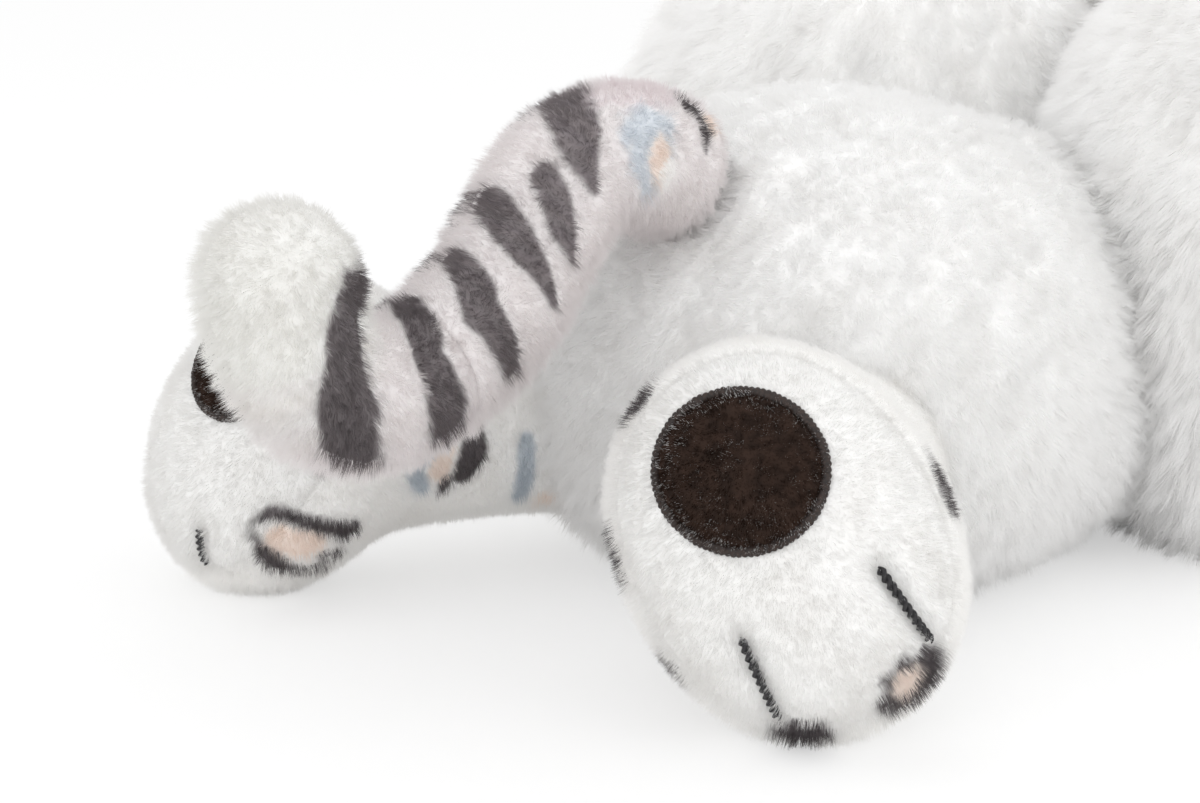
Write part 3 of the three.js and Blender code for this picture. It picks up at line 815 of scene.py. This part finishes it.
def stroke(points, path, widths, seed):
    """How strongly a brush stroke along a path just over the skin covers each point."""
    path = np.array(path, float)
    inside = np.full(len(points), -1e6)
    for start, end, wide_start, wide_end in zip(path[:-1], path[1:], widths[:-1], widths[1:]):
        along = end - start
        share = np.clip(((points - start) @ along) / (along @ along), 0, 1)
        gap = np.sum((points - start - share[:, None] * along) ** 2, axis=1)
        off = np.sqrt(np.maximum(gap - STROKE_LIFT ** 2, 0))
        inside = np.maximum(inside, (wide_start + (wide_end - wide_start) * share) / 2 - off)
    ragged = 0.25 * lattice_noise(points / 1.6, seed)
    return np.clip((inside + ragged + 0.75) / 0.7, 0, 1)[:, None]


def rosette(colours, points, centre, size, seed):
    """Adds a broken dark ring with a warm middle to a print."""
    gap = np.linalg.norm(points - np.array(centre, float), axis=1) / size
    wander = 0.25 * lattice_noise(points / 3.5, seed)
    middle = np.clip((0.8 - gap + wander) * 4, 0, 1)[:, None]
    broken = np.clip((lattice_noise(points / 4.5, seed + 1) + 0.3) * 5, 0, 1)
    ring = (np.clip((0.32 - np.abs(gap - 0.8 + wander)) * 6, 0, 1) * broken)[:, None]
    return laid_over(laid_over(colours, DYES["peach"], middle), DYES["dark"], ring)


def leg_colours(side, leg, points, ground):
    centre, turn = foot_frame(leg)
    local = (points - centre) @ turn
    colours = dyed(local, LEG_BLOTS[side], seed=60) * ground
    for dye, path, widths in LEG_STROKES[side]:
        cover = stroke(local, path, widths, seed=65)
        colours = laid_over(colours, DYES[dye], cover)
    return colours


# Pads and threads
PAD_EGG = 0.04
PAD_EGG_ANGLE = 0.9
PAD_INSET = 0.95
EDGE_AT = 0.965
EDGE_LIFT = 0.35
EDGE_WIDTH = 0.85
EDGE_HEIGHT = 0.75
PLY_RADIUS = 0.4
PLY_SIDES = 8
TWIST_RADIUS = 0.34
TWIST_PITCH = 2.6
THREAD_STEPS = 90
THREAD_END_STEPS = 5


def pad_outline(angles, share):
    """Foot-local x and z on the pad at a share of its size."""
    egg = share * (1 + PAD_EGG * np.cos(2 * (angles - PAD_EGG_ANGLE)))
    return PAD_RADII[0] * egg * np.cos(angles), PAD_HEIGHT + PAD_RADII[1] * egg * np.sin(angles)


def pad_patch(leg):
    """The brown pad, laid on the sole with its edge turned in under its stitching."""
    centre, turn = foot_frame(leg)
    sides, rings = 120, 50
    angles = circle(sides)
    local = []
    for step in range(rings, -1, -1):
        share = step / rings
        x, z = pad_outline(angles, PAD_INSET * share)
        rise = PAD_LIFT * (1 - share ** 8) ** 0.5
        local.append(np.stack([x, sole_height(x, z) + rise, z], axis=1))
    local = np.concatenate(local[:-1] + [local[-1][:1]])
    faces = tube_faces(rings, sides, closed_end=rings * sides)
    local = tufted(local, faces, height=0.14, size=1.2, flow=(0.4, 0, 1), seed=50)
    return local @ turn.T + centre, flipped(faces)


def pad_edge(leg):
    """Close satin stitches over the pad's edge."""
    centre, turn = foot_frame(leg)
    steps, sides, stitches = 540, 10, 90
    angles = circle(steps)
    x, z = pad_outline(angles, EDGE_AT)
    middle = np.stack([x, sole_height(x, z) + EDGE_LIFT, z], axis=1)
    along = unit(np.roll(middle, -1, axis=0) - np.roll(middle, 1, axis=0))
    outward = unit(np.array([0, 1.0, 0]) - along * along[:, 1:2])
    across = np.cross(along, outward)
    uneven = 1 + 0.12 * lattice_noise(middle / 1.5, seed=55)
    rows = []
    for turn_angle in circle(sides):
        groove = 0.78 + 0.22 * np.abs(np.cos(0.5 * stitches * angles + 0.4 * np.sin(turn_angle)))
        offset = EDGE_WIDTH * math.cos(turn_angle) * across + EDGE_HEIGHT * math.sin(turn_angle) * outward
        rows.append(middle + (groove * uneven)[:, None] * offset)
    local = np.stack(rows, axis=1).reshape(-1, 3)
    walls = np.array(tube_faces(steps + 1, sides)) % (steps * sides)
    return local @ turn.T + centre, walls.tolist()


def twisted_thread(name, path, outward):
    """Two plies wound round each other along a path in millimetres."""
    middle, at = evenly(path, THREAD_STEPS)
    along = unit(np.gradient(middle, axis=0))
    up = unit(outward - np.sum(outward * along, axis=1, keepdims=True) * along)
    side = np.cross(along, up)
    count = THREAD_STEPS * PLY_SIDES
    points, faces = [], []
    for ply in (0.0, math.pi):
        ply_middle = middle + TWIST_RADIUS * spun(2 * math.pi * at / TWIST_PITCH + ply, up, side)
        base = len(points) * (count + 2)
        rows = []
        for k in range(THREAD_STEPS):
            from_end = min(k, THREAD_STEPS - 1 - k)
            size = PLY_RADIUS * min(1.0, 0.35 + 0.65 * from_end / THREAD_END_STEPS)
            rows.append(ply_middle[k] + size * spun(circle(PLY_SIDES), up[k], side[k]))
        walls = tube_faces(THREAD_STEPS, PLY_SIDES, count, count + 1)
        faces += [tuple(base + i for i in face) for face in walls]
        points.append(np.concatenate(rows + [ply_middle[:1], ply_middle[-1:]]))
    return make_object(name, np.concatenate(points), faces)


def printed_skin(name, points, faces, colours, body, node):
    """A skin of printed pile in place of a solid."""
    skin = make_object(name, points, faces)
    paint(skin, colours)
    return dress(skin, PRINTED_PILE, body, "printed_pile", node)


for side, leg in HIND.items():
    body = f"hind_leg_{side}"
    centre, turn = foot_frame(leg)
    points, faces = leg_skin(leg)
    colours = leg_colours(side, leg, points, LEG_GROUND)
    upper = printed_skin(f"hind_leg_skin_{side}", points, faces, colours, body, f"hind_leg_{side}")
    add_pile(upper, "foot", lean=(0, 0.2, -0.3), seed=10)
    points, faces = sole_skin(side, leg)
    colours = leg_colours(side, leg, points, SOLE_GROUND_DIMMED)
    sole = printed_skin(f"sole_skin_{side}", points, faces, colours, body, f"sole_{side}")
    add_pile(sole, "foot", lean=(0, 0, -0.3), seed=11)
    pad = make_object(f"pad_patch_{side}", *pad_patch(leg))
    dress(pad, PAD_PILE, body, "pad", f"pad_{side}")
    add_pile(pad, "pad", lean=(0, 0, -0.3), seed=12)
    edge = make_object(f"pad_edge_{side}", *pad_edge(leg))
    dress(edge, [PAD_THREAD], body, "pad")
    for index, across in enumerate(TOE_LINES):
        path = toe_path(side, across)
        path[:, 1] -= TOE_THREAD_SINK
        stitch = twisted_thread(f"toe_stitch_{side}_{index + 1}", path @ turn.T + centre, turn[:, 1])
        dress(stitch, [THREAD], body, "thread", f"toe_thread_{side}_{index + 1}")


# Tail
TAIL_STEP = 0.5
TAIL_CAP_ANGLES = np.linspace(0.1, 0.98, 14) * math.pi / 2


def tail_place(at):
    """The middle of the tail and its direction, run on straight past its ends."""
    held = min(max(at, 0.0), TAIL_LENGTH)
    index = min(max(int(np.searchsorted(TAIL_AT, held)), 2), len(TAIL_AT) - 3)
    along = unit(TAIL_LINE[index + 2] - TAIL_LINE[index - 2])
    middle = np.array([np.interp(held, TAIL_AT, TAIL_LINE[:, k]) for k in range(3)])
    return middle + along * (at - held), along


def tail_skin(first, last, start_depth, end_depth):
    """A length of the tail between two distances along it, with each point's place along and around it."""
    at = np.linspace(first, last, max(8, int((last - first) / TAIL_STEP)))
    radii = tail_radius(at)
    caps = TAIL_CAP_ANGLES
    before = at[0] - start_depth * np.cos(caps) if start_depth else at[:0]
    after = at[-1] + end_depth * np.cos(caps[::-1]) if end_depth else at[:0]
    opening = radii[0] * np.sin(caps) if start_depth else at[:0]
    closing = radii[-1] * np.sin(caps[::-1]) if end_depth else at[:0]
    at = np.concatenate([before, at, after])
    sizes = np.concatenate([opening, radii, closing])
    around = circle(TAIL_SIDES)
    rows = []
    for place, size in zip(at, sizes):
        middle, along = tail_place(place)
        left = unit(np.array([1.0, 0, 0]) - along[0] * along)
        rows.append(middle + size * spun(around, left, np.cross(left, along)))
    ends = [rows[0].mean(axis=0), rows[-1].mean(axis=0)]
    points = np.concatenate(rows + [np.array(ends)])
    count = len(at) * TAIL_SIDES
    faces = flipped(tube_faces(len(at), TAIL_SIDES, count, count + 1))
    along_all = np.concatenate([np.repeat(at, TAIL_SIDES), [at[0], at[-1]]])
    around_all = np.degrees(np.concatenate([np.tile(around, len(at)), [0, 0]]))
    points = tufted(points, faces, height=0.15, size=2.5, flow=(0, 0.7, -0.7), seed=70)
    return points, faces, along_all, around_all


# Stripes on the tail: degrees around it, millimetres along it, width, and whether the left side has one too
TAIL_STRIPES = [
    ((84, 104, 136, 166), (19.0, 20.8, 23.8, 27.3), (6.0, 6.0, 5.2, 1.0), True),
    ((122, 150, 182), (30.0, 34.0, 38.4), (3.8, 5.0, 1.0), True),
    ((84, 132, 182), (36.0, 41.0, 45.4), (4.6, 5.4, 1.4), True),
    ((84, 140, 194), (48.6, 56.7, 57.4), (4.8, 6.4, 3.0), True),
    ((84, 144, 204), (63.4, 70.9, 69.6), (5.0, 6.8, 6.0), True),
    ((40, 100, 160, 196, 236), (99.0, 100.0, 98.4, 87.6, 80.8), (3.0, 4.0, 5.0, 7.4, 6.0), False),
]
# Other marks of the print at the tail's root, as dye, place along and around, and sizes
TAIL_MARKS = [
    ("lilac", (12.0, 112), (7.0, 5.0)), ("mist", (14.8, 170), (5.2, 7.5)),
    ("peach", (13.4, 182), (2.4, 4.0)), ("white", (11.0, 196), (2.0, 3.0)),
    ("dark", (5.2, 128), (2.2, 2.6)), ("dark", (3.8, 150), (1.3, 4.0)),
    ("peach", (1.4, 140), (1.4, 2.6)),
]
# Painted shade: the tail's ground and white tip are darker than the legs' white because the tail stands in
# the open light. The ground's faint lilac is print.
TAIL_GROUND_TINTED_DIMMED = np.array([0.92, 0.9, 0.906])
TAIL_TIP_WHITE = np.array([0.93, 0.926, 0.921])
TAIL_WHITE_FROM = 84.0
TAIL_WHITE_OVER = 8.0
TAIL_FOLD = 66.0
TAIL_FADE = 75.0
STRIPE_TONE = 1.5
STRIPE_PALER_ROOT = 0.7


def tail_colours(points, along, around):
    """The tail's print: stripes mirrored about its ridge, on a faintly tinted ground with a white tip, both
    darkened as painted shade.
    """
    turned = (around - TAIL_FOLD + 180) % 360 - 180
    folded = TAIL_FOLD + np.abs(turned)
    white = np.clip((along - TAIL_WHITE_FROM) / TAIL_WHITE_OVER, 0, 1)[:, None]
    colours = laid_over(TAIL_GROUND_TINTED_DIMMED, TAIL_TIP_WHITE, white)
    arc = math.radians(1) * TAIL_RADIUS
    ragged = 0.35 + 0.2 * lattice_noise(points / 4.0, seed=80)
    ragged += 0.1 * lattice_noise(points / 1.2, seed=90)
    for degrees, places, widths, mirrored in TAIL_STRIPES:
        angle = folded if mirrored else TAIL_FOLD + turned
        middle = np.interp(angle, degrees, places)
        slope = np.interp(angle + 5, degrees, places) - np.interp(angle - 5, degrees, places)
        off = np.abs(along - middle) / np.sqrt(1 + (slope / (10 * arc)) ** 2)
        past = np.maximum(np.maximum(degrees[0] - angle, angle - degrees[-1]), 0) * arc
        inside = np.interp(angle, degrees, widths) / 2 - np.hypot(off, past) + ragged
        cover = np.clip((inside + 0.3) / 0.8, 0, 1)[:, None]
        tone = STRIPE_TONE + STRIPE_PALER_ROOT * np.clip(1 - along / TAIL_FADE, 0, 1)
        faded = DYES["dark"] * tone[:, None]
        colours = laid_over(colours, faded, cover)
    for index, (dye, (place, angle), size) in enumerate(TAIL_MARKS):
        flat = np.stack([along - place, (folded - angle) * arc, np.zeros(len(along))], axis=1)
        cover = blot(flat, (0, 0, 0), (*size, 1), seed=95 + 2 * index)
        colours = laid_over(colours, DYES[dye], cover)
    return colours


TAIL_LENGTHS = (
    ("tail_upper_skin", (0.0, SPLIT_AT, TAIL_ROOT_DEPTH, 0), ("tail_base",),
     ("tail_base", "tail_middle"), TAIL_BEND),
    ("tail_lower_skin", (SPLIT_AT, TAIL_LENGTH, 0, TAIL_TIP_RADIUS), ("tail_middle", "tail_tip"),
     ("tail_middle", "tail_tip"), TAIL_CURL),
)
for name, span, nodes, bodies, joint in TAIL_LENGTHS:
    points, faces, along, around = tail_skin(*span)
    skin = make_object(name, points, faces)
    paint(skin, tail_colours(points, along, around))
    clothe(skin, PRINTED_PILE)
    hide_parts(*nodes)
    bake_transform(skin)
    add_pile(skin, "tail", lean=(0, 0.4, -0.3), seed=20)


# Head
def head_field(points):
    return swelling(points, HEAD["centre"], HEAD["radii"]) - HEAD_FLUFF


def on_swelling(form, *offsets):
    """Points of a swelling's surface in the directions of offsets from its centre."""
    offsets = np.array(offsets, float)
    sizes = np.linalg.norm(offsets / np.array(form["radii"]), axis=1, keepdims=True)
    return np.array(form["centre"]) + offsets / sizes


# Marks of the head's left half, as directions from its centre, with mirrored ones on its right
BROW_DASHES = [
    ((5, -41, 31), (4, -34, 40)), ((13, -36, 37), (16, -28, 44)), ((23, -36, 29), (28, -29, 35)),
    ((5, -24, 47), (7, -16, 50)),
]
CHEEK_DASHES = [
    ((47, -28, 2), (54, -16, 2)), ((46, -28, -9), (53, -16, -11)), ((43, -28, -20), (49, -18, -24)),
]
NAPE_ROSETTES = [
    (9, 34, 40), (30, 36, 26), (11, 50, 6), (40, 32, -2), (24, 44, -22), (48, 6, 24), (12, 8, 52),
]
NAPE_ROSETTE_SIZE = 8.0
EYE_RIM = 8.9
EYE_BACK = 0.3
DASH_WIDTHS = (1.6, 2.0, 1.8, 1.2, 0.6)


def head_colours(points):
    """Dashes on the brow and cheeks, rings behind, and a dark rim under each eye."""
    colours = blank(points, HEAD_GROUND)
    for sign in (1, -1):
        flip = np.array([sign, 1, 1])
        for index, spot in enumerate(NAPE_ROSETTES):
            place = on_swelling(HEAD, flip * np.array(spot))[0]
            colours = rosette(colours, points, place, NAPE_ROSETTE_SIZE, seed=200 + 10 * index + sign)
        for dash in BROW_DASHES + CHEEK_DASHES:
            path = on_swelling(HEAD, *(flip * np.linspace(*dash, len(DASH_WIDTHS))))
            cover = stroke(points, path, DASH_WIDTHS, seed=180)
            colours = laid_over(colours, DYES["dark"], cover)
        cover = blot(points, eye_place(sign)[0], (EYE_RIM,) * 3, seed=190, ragged=0.1)
        colours = laid_over(colours, DYES["dark"], cover)
    return colours


def eye_place(sign):
    """Where an eye sits on the head, and the way it faces."""
    across, above = sign * EYE_SPOT[0], EYE_SPOT[1]
    width, depth = HEAD["radii"][0], HEAD["radii"][1]
    forward = depth * math.sqrt(1 - (across / width) ** 2 - (above / depth) ** 2)
    spot = np.array(HEAD["centre"]) + np.array([across, -forward, above])
    outward = np.array([across / width ** 2, -forward / depth ** 2, above / depth ** 2])
    return spot, unit(outward)


points, faces = star_skin(head_field, HEAD["centre"], level=7, reach=90)
points = tufted(points, faces, height=0.35, size=6.0, flow=(0, 0.6, -0.8), seed=100)
head = printed_skin("head_skin", points, faces, head_colours(points), "head", "head_cover")
add_pile(head, "head", lean=(0, 0.6, -0.2), seed=30)

# The mouth is a print: a line down from the nose that parts to both sides, and whisker dots
MOUTH_LINE = [(0, -20, 1), (0, -19.5, -5), (0, -18, -9)]
MOUTH_CURVE = [(0, -18, -9), (4, -17, -11.5), (9, -15, -11.5), (13, -13, -9)]
MOUTH_WIDTH = 0.6
DOT_LENGTH = 0.6
WHISKER_DOTS = [(10, -17, 2), (15, -14, 4), (11, -16.5, -4), (17, -12.5, -3)]


def muzzle_colours(points):
    colours = blank(points, HEAD_GROUND)
    lines = [MOUTH_LINE]
    for sign in (1, -1):
        flip = np.array([sign, 1, 1])
        lines.append(flip * np.array(MOUTH_CURVE))
        lines += [flip * np.array([dot, np.array(dot) + (0, 0, DOT_LENGTH)]) for dot in WHISKER_DOTS]
    for line in lines:
        cover = stroke(points, on_swelling(MUZZLE, *line), [MOUTH_WIDTH] * len(line), seed=185)
        colours = laid_over(colours, DYES["dark"], cover)
    return colours


points, faces = swollen_skin(**MUZZLE, level=6, reach=40)
points = tufted(points, faces, height=0.12, size=2.0, flow=(0, 1, 0), seed=110)
muzzle = printed_skin("muzzle_skin", points, faces, muzzle_colours(points), "head", "muzzle")
add_pile(muzzle, "face", lean=(0, 0.3, -0.2), seed=31)

nose = make_object("nose_button", *swollen_skin(**NOSE, level=5, reach=20))
dress(nose, [NOSE_PLASTIC], "head", "nose", "nose")

for side, sign in (("left", 1), ("right", -1)):
    spot, outward = eye_place(sign)
    turn = np.array(Vector(outward).to_track_quat("Z", "Y").to_matrix())
    directions, faces = ball_grid(level=5)
    local = directions * np.array([EYE_RADIUS, EYE_RADIUS, EYE_HEIGHT])
    local[:, 2] = np.where(local[:, 2] < 0, local[:, 2] * EYE_BACK, local[:, 2])
    eye = make_object(f"eye_dome_{side}", local @ turn.T + spot, faces)
    dress(eye, [EYE_PLASTIC], "head", "eye", f"eye_{side}")
    ear_turn = turn_about("Y", sign * EAR["tilt"])
    x, y, z = EAR["centre"]
    points, faces = swollen_skin((sign * x, y, z), EAR["radii"], level=5, reach=30, turn=ear_turn)
    points = tufted(points, faces, height=0.15, size=2.5, flow=(0, 0, 1), seed=120)
    marks = [
        ("peach", (sign * x, y - 8, z - 1), (11, 7, 12)),
        ("dark", (sign * x, y + 8, z + 4), (9, 6, 9)),
    ]
    colours = dyed(points, marks, seed=150) * HEAD_GROUND
    ear = printed_skin(f"ear_skin_{side}", points, faces, colours, "head", f"ear_{side}")
    add_pile(ear, "face", lean=(0, 0.2, 0.3), seed=32)


# Forelegs
FORE_ROSETTE_SIZE = 7.0
SHOULDER_SHARE = 0.93
PAW_SHARE = 0.985
PAW_LINE_STEPS = 20
PAW_THREAD_RISE = 0.6


def fore_frame(sign):
    root = np.array([sign * SHOULDER[0], SHOULDER[1], SHOULDER[2]], float)
    turn = turn_about("Z", sign * FORE_SPLAY)
    reach = turn @ np.array([0, -FORE_LENGTH, 0])
    return root, np.array([root[0] + reach[0], root[1] + reach[1], PAW_RADII[2] + FLOOR_GAP]), turn


def fore_field(sign):
    root, centre, turn = fore_frame(sign)

    def field(points):
        paw = swelling(points, centre, PAW_RADII, 2.0, turn)
        limb = tapered(points, root, centre, SHOULDER_RADIUS, WRIST_RADIUS)
        return joined([paw, limb], LIMB_SOFTNESS)
    return field


def fore_skin(sign):
    root, centre, turn = fore_frame(sign)
    sides, rings = 100, 110
    angles = circle(sides)
    spokes = spun(angles, turn[:, 0], turn[:, 2])
    along = unit(centre - root)
    start = root - along * SHOULDER_RADIUS * SHOULDER_SHARE
    end = centre + along * PAW_RADII[1] * PAW_SHARE
    field = fore_field(sign)
    rows = []
    for t in 0.5 - 0.5 * np.cos(np.linspace(0.05, np.pi - 0.05, rings)):
        origin = start + (end - start) * t
        rows.append(surface_along(field, origin, spokes, LIMB_REACH))
    points = np.concatenate(rows + [start[None], end[None]])
    faces = tube_faces(rings, sides, rings * sides, rings * sides + 1)
    points = tufted(points, faces, height=0.3, size=3.0, flow=(0, -1, -0.3), seed=130)
    return flattened(points), faces


# Rings on the left foreleg from its root, with mirrored ones on the right
FORE_ROSETTES = [
    (6, -20, 19), (21, -34, 6), (-16, -38, 7), (7, -52, 10), (20, -66, -4), (-16, -70, -2), (0, -84, 8),
    (-20, -16, 2), (18, -8, 14),
]


def fore_colours(sign, points):
    root, _, turn = fore_frame(sign)
    local = (points - root) @ turn * np.array([sign, 1, 1])
    colours = blank(points, HEAD_GROUND)
    for index, spot in enumerate(FORE_ROSETTES):
        colours = rosette(colours, local, spot, FORE_ROSETTE_SIZE, seed=300 + 10 * index + sign)
    return colours


for side, sign in (("left", 1), ("right", -1)):
    body = f"foreleg_{side}"
    points, faces = fore_skin(sign)
    colours = fore_colours(sign, points)
    leg = printed_skin(f"foreleg_skin_{side}", points, faces, colours, body, f"foreleg_{side}")
    add_pile(leg, "foot", lean=(0, -0.3, -0.3), seed=40)
    root, centre, turn = fore_frame(sign)
    for index, across in enumerate(PAW_LINES):
        heights = np.linspace(*PAW_LINE_SPAN, PAW_LINE_STEPS)
        room = 1 - (across / PAW_RADII[0]) ** 2 - (heights / PAW_RADII[2]) ** 2
        front = -PAW_RADII[1] * np.sqrt(room) - PAW_THREAD_RISE
        path = np.stack([np.full(PAW_LINE_STEPS, across), front, heights], axis=1)
        stitch = twisted_thread(f"fore_toe_stitch_{side}_{index + 1}", path @ turn.T + centre, -turn[:, 1])
        dress(stitch, [THREAD], body, "thread", f"fore_toe_thread_{side}_{index + 1}")


# Inner pieces keep their solids and take their own materials
for node, material in (
    ("rump_filling", FIBRE), ("chest_filling", FIBRE), ("head_filling", FIBRE),
    ("eye_washer_left", NYLON), ("eye_washer_right", NYLON), ("nose_washer", NYLON),
):
    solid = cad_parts[node]
    solid.data.materials.clear()
    solid.data.materials.append(material)


# Floor, light and camera
WHITE = (1, 1, 1, 1)
FLOOR_SIZE = 12
FLOOR_SHINE = 0.5
WORLD_LIGHT = 0.98
SENSOR_WIDTH = 36.0


def floor_material():
    """White paper that keeps a soft shadow, half of it shining where the camera sees it."""
    material, tree = new_material("white_floor")
    paper = add_node(tree, "BsdfDiffuse", Color=(0.98, 0.98, 0.98, 1))
    white = add_node(tree, "Emission", Color=WHITE, Strength=1.0)
    ray = add_node(tree, "LightPath").outputs
    shown = add_node(tree, "Math", ray["Is Camera Ray"], ray["Is Glossy Ray"])
    shown.operation = "ADD"
    share = add_node(tree, "Math", shown.outputs[0], FLOOR_SHINE)
    share.operation = "MULTIPLY"
    show(tree, add_node(tree, "MixShader", share.outputs[0], paper.outputs[0], white.outputs[0]))
    return material


bpy.ops.mesh.primitive_plane_add(size=FLOOR_SIZE, location=(0, 0, 0))
floor = bpy.context.object
floor.name = "floor"
floor.data.materials.append(floor_material())


def studio_world():
    """White all round: a little under full strength as light, and white where the camera sees it."""
    world = bpy.data.worlds.new("studio")
    bpy.context.scene.world = world
    world.use_nodes = True
    tree = world.node_tree
    tree.nodes.clear()
    light = add_node(tree, "Background", Color=WHITE, Strength=WORLD_LIGHT)
    shown = add_node(tree, "Background", Color=WHITE, Strength=1.0)
    ray = add_node(tree, "LightPath").outputs["Is Camera Ray"]
    shader = add_node(tree, "MixShader", ray, light.outputs[0], shown.outputs[0])
    show(tree, shader, output="OutputWorld")


studio_world()


def area_light(name, place, aim, size, power):
    data = bpy.data.lights.new(name, "AREA")
    data.size = size
    data.energy = power
    light = bpy.data.objects.new(name, data)
    light.location = place
    light.rotation_euler = (Vector(aim) - Vector(place)).to_track_quat("-Z", "Y").to_euler()
    bpy.context.scene.collection.objects.link(light)


area_light("top_softbox", place=(-0.2, 0.2, 1.4), aim=(0, 0, 0), size=1.2, power=0.8)
area_light("rear_softbox", place=(-0.35, 1.15, 0.5), aim=(0, 0.03, 0.03), size=0.9, power=3.4)
area_light("side_softbox", place=(-1.15, -0.05, 0.28), aim=(-0.03, -0.03, 0.05), size=0.9, power=2.6)


def add_camera():
    azimuth, elevation = math.radians(VIEW_AZIMUTH), math.radians(VIEW_ELEVATION)
    level = math.cos(elevation)
    look = Vector((-math.sin(azimuth) * level, math.cos(azimuth) * level, -math.sin(elevation)))
    right = Vector((math.cos(azimuth), math.sin(azimuth), 0))
    up = right.cross(look)
    across, above = VIEW_ANCHOR_OFFSET
    target = Vector(VIEW_ANCHOR) - right * across * VIEW_SCALE - up * above * VIEW_SCALE
    data = bpy.data.cameras.new("photo_camera")
    data.sensor_fit = "HORIZONTAL"
    data.sensor_width = SENSOR_WIDTH
    data.lens = SENSOR_WIDTH * (VIEW_DISTANCE / VIEW_SCALE) / IMAGE_WIDTH
    data.clip_start = 0.01
    camera = bpy.data.objects.new("photo_camera", data)
    camera.location = (target - look * VIEW_DISTANCE) * MM
    camera.rotation_euler = look.to_track_quat("-Z", "Y").to_euler()
    bpy.context.scene.collection.objects.link(camera)
    bpy.context.scene.camera = camera


add_camera()
bpy.context.scene.view_settings.view_transform = "Standard"
bpy.context.scene.cycles.max_bounces = 16
bpy.context.scene.cycles.diffuse_bounces = 10
